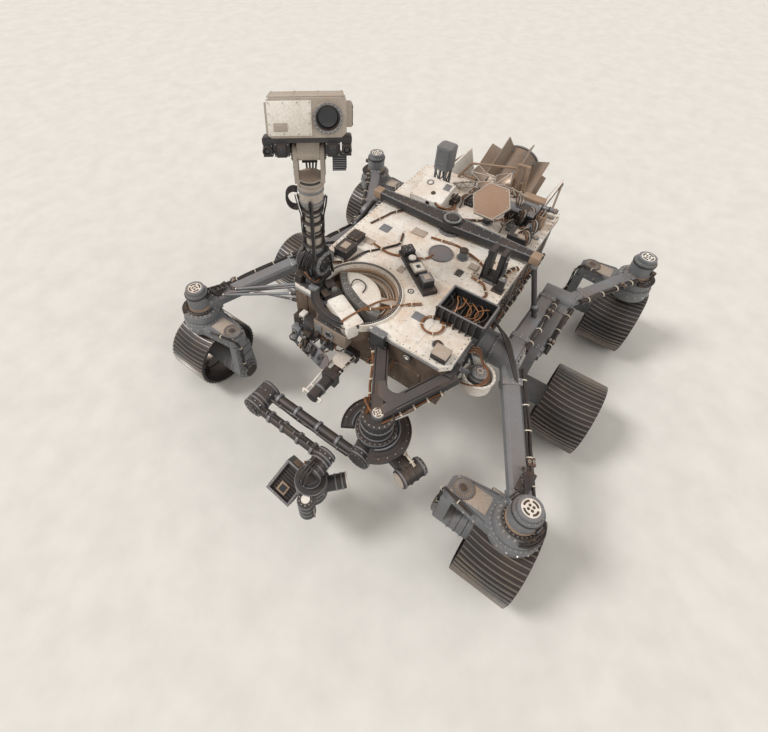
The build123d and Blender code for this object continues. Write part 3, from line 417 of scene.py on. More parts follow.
def facing(start, along):
    """Matrix that puts a shape's +Z along a direction at a point."""
    turn = Vector(along).to_track_quat("Z", "Y").to_matrix().to_4x4()
    return Matrix.Translation(start) @ turn @ Matrix.Rotation(pi, 4, "Z")


def turned(place, x=0, y=0, z=0):
    """Frame at a place, turned by degrees about Z, then X, then Y."""
    turns = [Matrix.Rotation(radians(turn), 4, axis) for axis, turn in zip("ZXY", (z, x, y))]
    return Matrix.Translation(place) @ turns[0] @ turns[1] @ turns[2]


def repeat(part, count, axis):
    """Copies all of a part round an axis, evenly."""
    geom = part.verts[:] + part.edges[:] + part.faces[:]
    bmesh.ops.spin(part, geom=geom, cent=(0, 0, 0), axis=axis, dvec=(0, 0, 0), angle=2 * pi * (count - 1) / count,
                   steps=count - 1, use_duplicate=True)


def swept(points, radius, sides):
    """Round cable through points, as a bmesh."""
    curve = bpy.data.curves.new("cable", "CURVE")
    curve.dimensions = "3D"
    curve.bevel_depth = radius
    curve.bevel_resolution = sides - 2
    curve.resolution_u = 5
    curve.use_fill_caps = True
    spline = curve.splines.new("BEZIER")
    spline.bezier_points.add(len(points) - 1)
    for knot, point in zip(spline.bezier_points, points):
        knot.co = point
        knot.handle_left_type = knot.handle_right_type = "AUTO"
    holder = bpy.data.objects.new("cable", curve)
    mesh = bpy.data.meshes.new_from_object(holder)
    bpy.data.objects.remove(holder)
    bpy.data.curves.remove(curve)
    part = bmesh.new()
    part.from_mesh(mesh)
    bpy.data.meshes.remove(mesh)
    return part


def along_path(points, share):
    """Point and direction at a share of a path's length."""
    points = [Vector(p) for p in points]
    lengths = [(b - a).length for a, b in zip(points, points[1:])]
    left = share * sum(lengths)
    for a, b, length in zip(points, points[1:], lengths):
        if left <= length or b is points[-1]:
            return a.lerp(b, min(left / length, 1)), (b - a).normalized()
        left -= length


def bundle(form, points, strands, spread, seed, ties=0, tie=TIE, wander=0.6):
    """Loose bundle of cables with ties round it; strands gives each cable's radius and material."""
    rng = Random(seed)
    steps = max(len(points) * 2, 5)
    reach = spread + max(r for r, _ in strands)
    for index, (radius, m) in enumerate(strands):
        turn = 2 * pi * index / len(strands) + rng.random()
        path = []
        for i in range(steps):
            share = i / (steps - 1)
            place, along = along_path(points, share)
            side = along.orthogonal().normalized()
            other = along.cross(side)
            swing = turn + wander * sin(share * 9 + index)
            path.append(place + (side * cos(swing) + other * sin(swing)) * spread * (0.8 + 0.4 * rng.random()))
        form.cable(path, radius, m)
    for i in range(ties):
        place, along = along_path(points, (i + 0.5) / ties)
        form.ring(place - along * 3, along, reach + 2, reach - 2, 6, tie, steps=12)


# Running gear


def wheel(name, x, y, s):
    """Open wheel: skin with turned-in lips, bowed lugs, spring spokes and a bolted hub."""
    sign = 1 if y > 0 else -1
    form = Form()
    form.at = Matrix.Translation((x, y, WHEEL_Z)) @ Matrix.Diagonal((1, sign, 1, 1))
    skin, lip = 253.5, 236.0
    profile = [(lip, 160), (skin - 5, 160), (skin - 5, 30), (skin - 14, 24), (skin - 14, 16), (skin - 5, 10),
               (skin - 5, -160), (lip, -160), (lip, -164.5), (skin, -164.5), (skin, 164.5), (lip, 164.5)]
    form.lathe((0, 0, 0), LEFT, profile, SKIN, 72)
    lug = bmesh.new()
    bmesh.ops.create_cube(lug, size=1, matrix=Matrix.Diagonal((12, 324, 9, 1)))
    bmesh.ops.scale(lug, vec=(0.5, 1, 1), verts=[v for v in lug.verts if v.co.z > 0])
    long = [e for e in lug.edges if abs(e.verts[0].co.y - e.verts[1].co.y) > 1]
    bmesh.ops.subdivide_edges(lug, edges=long, cuts=9, use_grid_fill=True)
    bow = s.lug_bow / MM
    for v in lug.verts:
        radius = 257.8 + v.co.z
        turn = (v.co.x + bow * (1 - (v.co.y / 162) ** 2)) / 254
        v.co = (radius * sin(turn), v.co.y, radius * cos(turn))
    repeat(lug, s.lug_count, LEFT)
    # The lugs' lighter grey is painted highlight on their crests
    form.take(lug, LUG)
    spoke = bmesh.new()
    bmesh.ops.create_grid(spoke, x_segments=14, y_segments=2, size=0.5)
    for v in spoke.verts:
        share = v.co.x + 0.5
        v.co = (78 + 172 * share, v.co.y * (54 - 16 * sin(pi * share)), 42 * sin(pi * share) - 3)
    bmesh.ops.recalc_face_normals(spoke, faces=spoke.faces)
    bmesh.ops.solidify(spoke, geom=spoke.faces[:], thickness=6)
    repeat(spoke, 6, LEFT)
    form.take(spoke, TITANIUM)
    hub = [(36, -37), (76, -37), (82, -31), (82, 20), (70, 28), (66, 37), (36, 37)]
    form.lathe((0, 0, 0), LEFT, hub, SKIN, 40)
    form.circle((0, 24, 0), LEFT, 74, 12, 4.5, 7)
    form.lathe((0, 38, 0), LEFT, [(0, 0), (40, 0), (40, 5), (24, 11), (0, 11)], PLASTIC, 24)
    form.circle((0, 43, 0), LEFT, 25, 6, 3, 3)
    for i in range(6):
        a = radians(60 * i)
        out = Vector((cos(a), 0, -sin(a)))
        form.circle(out * 244, -out, 12, 2, 4, 5)
    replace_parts(form.done(name + "_dressed", name), name)


def target(form, centre, radius, turn):
    """Round white target with a broken black ring and a dot."""
    form.disc(centre, UP, radius, 1.6, WHITE, 32)
    top = Vector(centre) + Vector((0, 0, 1.4))
    for first in range(4):
        form.ring(top, UP, radius * 0.84, radius * 0.62, 1.2, PLASTIC, 8, span=66, first=turn + 90 * first)
    form.circle(top, UP, radius * 0.3, 4, radius * 0.17, 1.2, PLASTIC, turn + 10, 12)


def motor_fittings(side, sign, row, x):
    """Bolt ring, collars, target and plugs of an upright steering motor."""
    form = Form()
    y = sign * HALF_TRACK
    form.circle((x, y, 702), UP, 104, 20, 8, 6, STEEL, 11)
    form.flange((x, y, 702), UP, 90, 76.5, 10, BLACK, 48, 2, 83, 24, 4, 4)
    form.ring((x, y, 724), UP, 79, 75, 22, BROWN, 48, edge=1)
    form.ring((x, y, 836), UP, 80, 75, 16, BLACK, 48, edge=2)
    form.flange((x, y, 858), UP, 72, 61.5, 6, CLEAR, 48, 2, 66.5, 16, 3.2, 3)
    target(form, (x, y, 892.2), 46, 35)
    out = Vector((0.25, sign, 0)).normalized()
    hook = Vector((x, y, 790)) + out * 74
    form.rod(hook, hook + out * 30, 17, PLASTIC, sides=16, edge=2)
    form.ring(hook + out * 10, out, 20, 16, 6, CLEAR, 20)
    # Dark pipes that hug the motor's foot
    for r, z, m in ((112, 716, JACKET), (124, 708, JACKET), (98, 730, PLASTIC)):
        turns = range(20 * sign, 200 * sign, 20 * sign)
        arc = [Vector((x, y, z + 4 * sin(radians(5 * a)))) + around(a) * r for a in turns]
        form.cable(arc, 6, m)
    form.done(f"steering_motor_{side}_{row}_fittings", "body")


def knuckle_fittings(side, sign, row, x):
    """Flange screws, pale strut plate, toothed dial, bands and cable of a steered leg."""
    form = Form()
    y = sign * HALF_TRACK
    form.circle((x, y, 639.5), UP, 129, 32, 4.6, 4)
    form.ring((x, y, 590), UP, 139, 130, 22, CLEAR, 48, edge=3)
    form.studs((x, y, 601), UP, 138, 16, 6, 5, 8)
    # Pale cover plate on the strut with its screws
    low, high = sorted((sign * 832, sign * 1040))
    form.box((x - 54, low, 637.5), (x + 54, high, 641), WARM, edge=1.2)
    form.screws([(x + dx, sign * dy, 641) for dx in (-44, 44) for dy in (960, 996, 1028)], UP, 4.5, 3)
    for dx in (-1, 1):
        form.beam((x + dx * 66, sign * 860, 632), (x + dx * 92, sign * 1050, 632), 10, 10, CLEAR, 2)
    # Toothed dial: radial teeth between two rims about a dark middle
    dial = (x, sign * 884, 646)
    form.ring(dial, UP, 60, 53, 8, CLEAR, 40, edge=1.5)
    form.ring(dial, UP, 30, 22, 9, CLEAR, 28, edge=1.5)
    teeth = bmesh.new()
    bmesh.ops.create_cube(teeth, size=1, matrix=Matrix.Translation((41, 0, 3)) @ Matrix.Diagonal((26, 3.6, 6, 1)))
    repeat(teeth, 26, UP)
    form.take(teeth, WARM, Matrix.Translation(dial))
    form.lathe(dial, UP, [(0, 0), (22, 0), (22, 6), (12, 10), (0, 10)], PLASTIC, 24)
    # Strut's side ribs
    for dx in (-1, 1):
        places = [(x + dx * (66 + 40 * share), sign * (830 + 250 * share), 590) for share in (0.2, 0.45, 0.7)]
        form.screws(places, (dx, -0.15 * sign, 0), 7, 8)
    # Leg and drive motor
    for dy in (898, 940, 982):
        form.ring((x, sign * dy, WHEEL_Z), LEFT, 88, 80, 9, CLEAR, 40, edge=2)
    form.circle((x, sign * 906.5, WHEEL_Z), LEFT, 84, 16, 3.5, 4)
    inward = (0, -sign, 0)
    form.flange((x, sign * 810, WHEEL_Z), inward, 78, 60, 10, CLEAR, 40, 2, 69, 12, 4.5, 5)
    form.lathe((x, sign * 780, WHEEL_Z), inward, [(0, 0), (50, 0), (46, 6), (24, 10), (0, 10)], PLASTIC, 28)
    form.circle((x, sign * 779, WHEEL_Z), inward, 53, 8, 3.5, 4)
    for z in (350, 430, 510):
        form.beam((x - 70, sign * 808, z), (x + 70, sign * 808, z), 8, 12, CLEAR, 2)
    path = [(x + 20, sign * 788, 300), (x + 34, sign * 794, 380), (x + 26, sign * 796, 470), (x + 30, sign * 790, 560),
            (x + 52, sign * 812, 640), (x + 84, sign * 880, 668), (x + 104, sign * 985, 664)]
    bundle(form, path, [(5, JACKET), (4, JACKET), (4, JACKET)], 6, seed=3, ties=3)
    form.done(f"knuckle_{side}_{row}_fittings", f"knuckle_{side}_{row}")


def tube_fittings(form, start, end, width, depth, side, ties, seed, strands):
    """End collars with screws, and a tied harness along the outboard side of a beam."""
    start, end = Vector(start), Vector(end)
    along = (end - start).normalized()
    length = (end - start).length
    across = Vector(UP).cross(along).normalized()
    up = along.cross(across)
    up = up if up.z > 0 else -up
    out = across if across.y * side > 0 else -across
    for share, long in ((0.17, 46), (0.84, 40)):
        a = start + along * length * share
        form.beam(a, a + along * long, width + 10, depth + 10, CLEAR, 6)
        for step in (10, long - 10):
            for shift in (-0.34, 0, 0.34):
                place = a + along * step + out * width * shift + up * (depth / 2 + 5)
                form.circle(place, up, 0, 1, 5, 4)
                face = a + along * step + up * depth * shift * 0.9 + out * (width / 2 + 5)
                form.circle(face, out, 0, 1, 5, 4)
    lift = depth * 0.3
    path = []
    for t in (0.1, 0.22, 0.36, 0.5, 0.64, 0.78, 0.9):
        aside = width / 2 + 14 + 3 * sin(9 * t + seed)
        path.append(start + along * length * t + out * aside + up * (lift + 4 * cos(7 * t)))
    bundle(form, path, strands, 11, seed=seed, ties=ties, wander=0.35)
    # Clip box with copper plugs at one place of the harness
    clip = start + along * length * 0.66 + out * (width / 2 + 16) + up * lift
    form.beam(clip, clip + along * 44, 44, 34, BLACK, 4)
    for shift in (-12, 12):
        knot = clip + up * 14 + out * shift
        form.beam(knot + along * 8, knot + along * 36, 12, 12, COPPER, 3)
        form.ring(clip + along * 22 + up * 22 + out * shift, up, 8, 4, 4, STEEL, 14)


def suspension_fittings(side, sign):
    """Collars, screws, harnesses and ties of one side's rocker and bogie."""
    form = Form()
    track = sign * HALF_TRACK
    hip, elbow = (350, sign * 740, 900), (-500, sign * 740, 705)
    bogie_hip, knee = (-500, sign * 856, 705), (0, sign * 840, 590)
    strands = [(8, JACKET), (7.5, JACKET), (6, JACKET), (8, JACKET), (3.5, COPPER), (5, JACKET)]
    tube_fittings(form, hip, (1100, track, 710), 104, 84, sign, 5, 4, strands)
    tube_fittings(form, hip, elbow, 104, 84, sign, 4, 5, strands[:5])
    tube_fittings(form, bogie_hip, (-1080, track, 710), 88, 74, sign, 4, 6, strands[:4])
    tube_fittings(form, bogie_hip, knee, 88, 74, sign, 3, 7, strands[:4])
    outward = (0, sign, 0)
    # Pivot caps
    form.flange((350, sign * 792, 900), outward, 92, 60, 10, CLEAR, 48, 3, 77, 18, 5.5, 6)
    form.lathe((350, sign * 792, 900), outward, [(0, 0), (56, 0), (56, 8), (40, 16), (0, 16)], BLACK, 40)
    form.circle((350, sign * 806, 900), outward, 30, 6, 4.5, 5)
    form.flange((-500, sign * 900, 705), outward, 70, 44, 8, CLEAR, 40, 2, 57, 14, 5, 5)
    form.disc((-500, sign * 900, 705), outward, 40, 6, BLACK, 32)
    for y in (560, 640):
        form.ring((350, sign * y, 900), outward, 101, 93, 14, CLEAR, 48, edge=3)
        form.studs((350, sign * (y + 7), 900), LEFT, 100, 12, 4.5, 4)
    # Loops of cable about the hip, and the plug cluster beside the front motor
    for shift, radius in ((0, 7), (14, 6), (26, 6), (-14, 5)):
        path = [(262 + shift, sign * 548, 1050), (300 + shift, sign * 610, 1042 + shift),
                (352 + shift, sign * 700, 1018), (420 + shift, sign * 770, 980), (468 + shift * 0.6, sign * 826, 930),
                (500, sign * 868, 880 + shift * 0.6)]
        form.cable(path, radius, JACKET)
    form.box((880, sign * 1126 - 34, 772), (1010, sign * 1126 + 34, 800), BLACK, 4)
    for i in range(4):
        plug = Vector((900 + 28 * i, sign * (1086 + 14 * i), 806))
        form.plug(plug, UP, 22, 10, PLASTIC, 5, 12, 5)
        loop = [plug + Vector((0, 0, 20)), plug + Vector((20, 0, 44)), plug + Vector((70, sign * 30, 40)),
                (1090, sign * (1090 + 10 * i), 836 - 8 * i)]
        form.cable(loop, 4.5, JACKET)
    form.done(f"suspension_{side}_fittings", "body")


# Deck and what stands on it


def ring_mark(form, x, y, z, radius):
    """Round sight mark: white disc with a black ring and a black dot."""
    form.disc((x, y, z), UP, radius, 1.5, WHITE, 28)
    form.ring((x, y, z + 1.2), UP, radius * 0.92, radius * 0.6, 1.2, PLASTIC, 28)
    form.disc((x, y, z + 1.2), UP, radius * 0.25, 1.2, PLASTIC, 16)


def deck_fittings():
    """Seams, cover plates, marks, screws and small hatches of the deck."""
    rng = Random(11)
    z = DECK_TOP
    form = Form()
    # Cover plates a little proud of the deck: low corner, high corner
    plates = (
        ((150, -505), (330, -250)), ((-20, -500), (130, -230)), ((-170, -505), (-40, -40)), ((90, 140), (250, 300)),
        ((560, 180), (760, 330)), ((-160, 60), (-60, 330)), ((-560, -520), (-330, -410)), ((-820, -520), (-700, -330)),
        ((-820, -300), (-700, -60)), ((-820, 180), (-740, 520)), ((-350, 60), (-290, 300)), ((180, 330), (300, 520)),
    )
    for low, high in plates:
        form.box((*low, z), (*high, z + 2.4), WHITE, 1)
        inset = 10
        xs, ys = (low[0] + inset, high[0] - inset), (low[1] + inset, high[1] - inset)
        spots = grid(xs, ys, z + 2.4)
        spots += grid((xs[0] + xs[1]) / 2, ys, z + 2.4) + grid(xs, (ys[0] + ys[1]) / 2, z + 2.4)
        form.screws(spots, UP, 4, 2.4)
    # Edge screws, all round
    for i in range(42):
        x = -836 + i * 40
        if abs(x - 650) > 90:
            form.screws([(x, -538, z)], UP, 4, 2.5, CLEAR)
        form.screws([(x, 538, z)], UP, 4, 2.5, CLEAR)
    for i in range(24):
        form.screws([(-848, -470 + i * 41, z), (809, -470 + i * 41, z)], UP, 4, 2.5, CLEAR)
    # Edge rail round the deck
    for y in (-548, 548):
        form.beam((-800, y, z - 20), (760, y, z - 20), 6, 26, CLEAR, 2)
    for x in (-858, 818):
        form.beam((x, -500, z - 20), (x, 500, z - 20), 26, 6, CLEAR, 2)
    # Sight marks: place and radius
    for x, y, radius in ((300, 60, 21), (446, 92, 21), (462, 290, 18), (196, -110, 16), (-90, 380, 15)):
        ring_mark(form, x, y, z + 2.4, radius)
    # Small grey plates and hatches
    for x, y, w, d, h, m in ((318, -56, 56, 40, 6, WARM), (250, -40, 46, 46, 8, CLEAR), (590, 240, 60, 84, 5, CLEAR),
                             (-60, -150, 66, 96, 10, WARM), (40, -360, 70, 70, 8, CLEAR), (220, -380, 54, 90, 7, WARM),
                             (-300, -130, 80, 60, 12, BLACK), (130, 250, 60, 44, 9, BLACK),
                             (30, 300, 50, 60, 14, WARM)):
        form.slab(x, y, w / 2, d / 2, z, z + h, m, 2)
        form.screws(corners(x, y, z + h, w / 2 - 7, d / 2 - 7), UP, 3.5, 2.5)
    # Vent strip: pale bar with a row of holes, drawn as thin black discs that are painted shade in the holes
    form.box((60, 316, z), (98, 516, z + 8), WARM, 2)
    for i in range(9):
        form.disc((79, 330 + i * 21, z + 8), UP, 6, 0.8, PLASTIC, 12)
    for i in range(70):
        x, y = rng.uniform(-820, 790), rng.uniform(-515, 515)
        if (x - 645) ** 2 + (y + 150) ** 2 > 290**2:
            form.screws([(x, y, z)], UP, rng.uniform(3, 5), 2, STEEL if rng.random() < 0.5 else BLACK)
    form.done("deck_fittings", "body")


def deck_cables():
    """Copper film cables and grey harnesses that cross the deck."""
    rng = Random(5)
    z = DECK_TOP + 10
    form = Form()
    # Runs of copper cable: points on the deck
    runs = (
        [(560, -470), (470, -360), (330, -330), (210, -240), (120, -190), (20, -230)],
        [(230, -330), (250, -200), (200, -60), (150, 20), (90, 40)],
        [(556, 376), (530, 430), (440, 470), (330, 440)],
        [(330, 440), (200, 470), (140, 420), (120, 330)],
        [(-60, -60), (-90, 120), (-40, 300), (10, 380)],
        [(-300, -240), (-260, -330), (-120, -420), (60, -470)],
        [(-440, 150), (-380, 60), (-310, -60), (-330, -150)],
        [(-640, 240), (-560, 260), (-500, 220), (-450, 170)],
        [(760, -60), (690, 10), (640, 60), (560, 130), (500, 200)],
    )
    for index, run in enumerate(runs):
        path = [(x, y, z + 2 * sin(i * 2.1 + index)) for i, (x, y) in enumerate(run)]
        strands = [(rng.uniform(3, 4), COPPER if rng.random() < 0.75 else JACKET) for _ in range(3)]
        bundle(form, path, strands, 5, seed=20 + index, ties=3, wander=0.3)
    # Coil of spare cable beside the port, with its ties
    coil = Vector((600, 330, z))
    for i in range(3):
        form.cable([coil + around(24 * k) * (56 + 5 * i) + Vector((0, 0, (0, 5, 2)[i])) for k in range(16)], 3, COPPER)
    for k in range(4):
        out = around(90 * k + 30)
        form.beam(coil + out * 50, coil + out * 74, 5, 16, TIE, 1)
    form.done("deck_cables", "body")


def port_carousel():
    """What is in the round port: smooth half drum, stepped brown crescent, textured band and white block."""
    form = Form()
    form.at = turned((*PORT, 0), z=-24)
    floor, top = DECK_TOP - 104, DECK_TOP - 8
    form.disc((0, 0, floor), UP, 240, 5, BROWN, 72)
    # Stepped arcs of the crescent, with short ribs between them
    for outer, inner, height, m in ((239, 224, 84, BROWN), (219, 211, 66, WARM), (206, 190, 52, BROWN),
                                    (184, 176, 62, WARM), (170, 160, 40, BROWN)):
        form.ring((0, 0, floor), UP, outer, inner, height, m, 56, span=184, first=88, edge=2)
    for i in range(20):
        reach = around(94 + 9 * i)
        form.beam(reach * 168 + Vector((0, 0, floor + 24)), reach * 224 + Vector((0, 0, floor + 44)), 4, 24, BROWN, 1)
    # Half drum with a crowned, rolled edge
    whole = form.at
    form.at = whole @ Matrix.Translation((14, -26, 0)) @ Matrix.Diagonal((1, 1.22, 1, 1))
    drum = [(0, 0), (152, 0), (152, 84), (149, 93), (141, 98), (126, 101), (0, 104)]
    form.lathe((0, 0, floor), UP, drum, WHITE, 48, span=180, first=90)
    form.at = whole
    form.box((-30, -70, 0), (30, 70, 7), WARM, 2, turned((-112, 120, floor + 84), y=-16, z=40))
    # Bowed band: woven face, two rails and dark pins
    pins = Vector((-324, 0, top + 13))
    form.ring((-324, 0, floor), UP, 394, 350, top + 14 - floor, SLEEVE, 44, span=67, first=-33.5, edge=3)
    for r in (390, 354):
        form.ring(pins, UP, r + 4, r - 4, 6, SLEEVE, 44, span=66, first=-33, edge=1.5)
    for i in range(27):
        for r in (365, 379):
            form.screws([pins + around(-31 + 2.4 * i) * r], UP, 3.4, 2.4, BLACK if i % 3 else STEEL)
    # White block ahead of the band that runs out over the rim, its seams, and the dark covers beside it
    form.box((92, -30, floor + 20), (206, 228, DECK_TOP + 26), WHITE, 18)
    form.box((206, -14, DECK_TOP - 50), (216, 196, DECK_TOP + 4), WARM, 4)
    form.box((106, -16, DECK_TOP + 26), (192, 96, DECK_TOP + 28), WHITE, 1)
    form.screws(grid((113, 185), (-8, 40, 88, 150, 210), DECK_TOP + 28), UP, 3, 2)
    form.box((76, -196, floor + 10), (196, -50, top + 4), BLACK, 8)
    form.box((96, -180, top + 4), (150, -110, top + 26), JACKET, 4)
    form.box((158, -120, top), (200, -60, top + 22), PLASTIC, 4)
    form.rod((120, -84, top + 4), (120, -84, top + 34), 18, SLEEVE, sides=24, edge=3)
    form.ring((0, 0, top), UP, 270, 236, 28, BLACK, 72, span=134, first=-74, edge=3)
    form.ring((0, 0, DECK_TOP - 1), UP, 290, 268, 4, BLACK, 72, span=118, first=-66)
    form.cable([(20, -70, top + 10), (-30, -96, top + 24), (-62, -70, top + 20), (-60, -20, top + 16),
                (-20, 10, top + 10)], 4, JACKET)
    for i in range(2):
        form.cable([(212, 150 + 6 * i, DECK_TOP), (200, 160 + 6 * i, DECK_TOP + 30), (150, 150 + 6 * i, DECK_TOP + 30),
                    (86, 140 + 6 * i, DECK_TOP + 28), (0, 120 + 6 * i, top + 16), (-90, 112 + 6 * i, top + 2),
                    (-190, 130, top - 20)], 3, COPPER)
    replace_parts(form.done("port_carousel_dressed", "body"), "port_carousel")


def port_fittings():
    """Perforated rim of the round port, the white block on the front wall in painted shade, and the dark tray beside
    the mast.
    """
    (x, y), z = PORT, DECK_TOP
    form = Form()
    form.ring((x, y, z + 14), UP, 264, 258, 3, WHITE, 72, span=206, first=52)
    form.ring((x, y, z + 14), UP, 257, 242, 1.6, BLACK, 96)
    form.circle((x, y, z + 15), UP, 249.5, 120, 2.4, 2.4, WHITE, sides=5)
    # Block on the front wall, with its lid, a socket and screws; the white block's brown grey is painted shade of its
    # front
    form.box((821, -267, 964), (937, -33, 1070), SAND_AND_SHADE, 6)
    form.box((829, -259, 1070), (931, -41, 1075), BLACK, 1.5)
    form.screws(grid((838, 922), (-250, -184, -116, -50), 1075), UP, 4, 3)
    form.flange((937, -150, 1016), AHEAD, 34, 22, 8, CLEAR, 28, 1.5, 28, 8, 3, 3)
    form.lathe((937, -150, 1016), AHEAD, [(0, 0), (22, 0), (18, 4), (0, 4)], PLASTIC, 28)
    form.box((937, -250, 984), (942, -205, 1050), CLEAR, 1.5)
    for i in range(3):
        form.cable([(940, -240 + 9 * i, 990), (962, -244 + 9 * i, 960), (930, -250 + 12 * i, 925),
                    (850, -250 + 10 * i, 908), (805, -240 + 8 * i, 900)], 4.5, PLASTIC)
    # Dark tray at the deck's corner: (x, y, length, width, height, material)
    for px, py, l, w, h, m in ((748, -446, 118, 176, 6, BLACK), (776, -500, 44, 50, 60, PLASTIC),
                               (752, -430, 60, 44, 44, BLACK), (788, -380, 34, 60, 34, CLEAR),
                               (722, -500, 40, 34, 74, BLACK), (560, -512, 90, 30, 46, PLASTIC),
                               (500, -490, 60, 50, 34, BLACK), (726, -452, 20, 20, 92, CLEAR)):
        form.slab(px, py, l / 2, w / 2, z, z + h, m, 3)
        form.screws(corners(px, py, z + h, l / 2 - 6, w / 2 - 6), UP, 3, 2.5)
    for i in range(5):
        form.cable([(720 + 8 * i, -520, z + 60), (745 + 8 * i, -470 + 8 * i, z + 78 - 5 * i),
                    (770, -420 + 12 * i, z + 50), (740 - 20 * i, -402, z + 20)], 5, COPPER if i == 2 else JACKET)
    form.done("port_fittings", "body")


def front_gear():
    """Crowded gear on the front wall beside the post, its leaning cover plate, and the rods to the right rocker."""
    rng = Random(41)
    form = Form()
    # (low corner, high corner, material) of each box
    for low, high, m in (((804, -492, 770), (880, -396, 900), PLASTIC), ((804, -384, 800), (912, -296, 940), BLACK),
                         ((804, -286, 742), (872, -186, 850), BLACK), ((880, -470, 790), (932, -404, 850), CLEAR),
                         ((804, -280, 862), (852, -200, 926), PLASTIC), ((912, -366, 820), (944, -306, 886), PLASTIC),
                         ((804, -180, 800), (846, -130, 900), CLEAR), ((830, -440, 900), (880, -400, 946), WHITE)):
        form.box(low, high, m, 4)
        xs, ys, zs = zip(low, high)
        form.screws(grid(xs[1], (ys[0] + 9, ys[1] - 9), (zs[0] + 9, zs[1] - 9)), AHEAD, 4, 3)
        spot = Vector((xs[1], sum(ys) / 2, sum(zs) / 2))
        form.plug(spot, AHEAD, 16, 11, PLASTIC if m != PLASTIC else CLEAR, 4, 14, 5, sides=16)
        form.cable([spot + Vector((14, 0, 0)), spot + Vector((44, rng.uniform(-20, 20), -10)),
                    spot + Vector((30, 20, -50)), Vector((812, spot.y + 30, 756))], 4.5,
                   rng.choice((JACKET, JACKET, COPPER)))
    # Leaning cover plate with rounded ends, on two struts
    form.at = turned((966, -288, 800), y=58, z=-12)
    form.box((-50, -132, 0), (50, 132, 6), BLUE, 2)
    for side in (-1, 1):
        form.disc((0, side * 132, 0), UP, 50, 6, BLUE, 28)
    form.screws([(a * 42, b, 6) for a in (-1, 1) for b in (-126, -42, 42, 126)], UP, 4, 3)
    for y, m in ((-66, STEEL), (-30, PLASTIC), (8, CLEAR), (44, BLACK)):
        form.box((-44, y - 15, 6), (10 + y / 4, y + 15, 34 - y / 4), m, 4)
        form.rod((24, y, 6), (24, y, 30), 10, PLASTIC if m == CLEAR else STEEL, sides=16, edge=2)
    for i in range(5):
        form.cable([(-40, -70 + 24 * i, 30), (-14, -60 + 26 * i, 48), (22, -74 + 28 * i, 40), (36, -50 + 24 * i, 8)],
                   3.6, COPPER if i == 1 else JACKET)
    form.at = Matrix()
    for y in (-380, -230):
        form.rod((806, y, 770), (950, y + 10, 786), 9, CLEAR, sides=16)
        form.rod((806, y, 860), (944, y + 10, 822), 7, CLEAR, sides=16)
    # Rods from the body's right front corner to the rocker's tube: (start, end, radius)
    for a, b, r in (((700, -536, 1010), (905, -1060, 792), 10), ((786, -536, 990), (985, -1108, 774), 9),
                    ((786, -536, 925), (868, -1042, 790), 8), ((640, -536, 945), (945, -1084, 776), 8)):
        a, b = Vector(a), Vector(b)
        way = (b - a).normalized()
        form.rod(a, b, r, BLUE, sides=16)
        for end, step in ((a, way), (b, -way)):
            form.rod(end, end + step * 34, r + 5, BLACK, sides=18, edge=2)
            form.rod(end + step * 40, end + step * 50, r + 3, STEEL, sides=18, edge=1)
    form.done("front_gear", "body")


def fin_box_fittings():
    """Light rim, copper windings and screws of the finned box, and the gear about the fork."""
    z = DECK_TOP
    form = Form()
    top = z + 104
    for a, b in (((338, 315), (338, 589)), ((534, 315), (534, 589)), ((338, 315), (534, 315)),
                 ((338, 589), (534, 589))):
        form.beam((*a, top + 1), (*b, top + 1), 11, 4, CLEAR, 1)
    form.screws(grid((339, 533), range(325, 590, 43), top + 3), UP, 3.2, 2.5)
    # Circuit trays inside, and copper wires over them
    for i in range(5):
        form.box((360, 330 + i * 50, z + 12), (515, 336 + i * 50, z + 74), BLACK, 1)
    form.box((352, 322, z + 12), (520, 582, z + 24), PLASTIC)
    rng = Random(31)
    for i in range(13):
        y = rng.uniform(340, 560)
        path = [(356, y, z + 40), (390, y + rng.uniform(-40, 40), z + rng.uniform(80, 96)),
                (450, y + rng.uniform(-60, 60), z + rng.uniform(78, 98)), (516, y + rng.uniform(-30, 30), z + 60)]
        form.cable(path, 3.4, COPPER if i % 3 else JACKET)
    # Fork: cheek plates, gussets, pins and a cable
    for y in (372, 488):
        form.box((-4, y - 4, z), (104, y + 4, z + 150), BLACK, 2, taper=(0.5, 1))
    for y in (378, 482):
        form.box((20, y - 3, z), (80, y + 3, z + 226), BLACK, 2)
        out = (0, 1 if y > 430 else -1, 0)
        form.circle((50, y + (3 if y > 430 else -3), z + 190), out, 18, 6, 4, 4)
        form.rod((50, y, z + 190), Vector((50, y, z + 190)) + Vector(out) * 14, 10, CLEAR, edge=1.5)
        for share in (0.2, 0.5):
            form.circle((50, y + (3 if y > 430 else -3), z + 226 * share), out, 12, 4, 3.5, 4, STEEL, 45)
    for x in (2, 98):
        form.box((x - 8, 396, z), (x + 8, 464, z + 14), CLEAR, 2)
        form.screws([(x, 408, z + 14), (x, 452, z + 14)], UP, 5, 4)
    form.box((96, 470, z), (150, 540, z + 10), BLACK, 2)
    form.box((100, 492, z + 92), (136, 532, z + 98), CLEAR, 2)
    form.rod((118, 512, z + 98), (118, 512, z + 108), 9, STEEL, edge=1)
    bundle(form, [(64, 470, z + 8), (10, 500, z + 20), (-60, 500, z + 26), (-120, 520, z + 12), (-140, 540, z - 30)],
           [(6, JACKET), (6, JACKET), (5, COPPER), (5, JACKET)], 9, seed=8, ties=5)
    form.done("fin_box_fittings", "body")


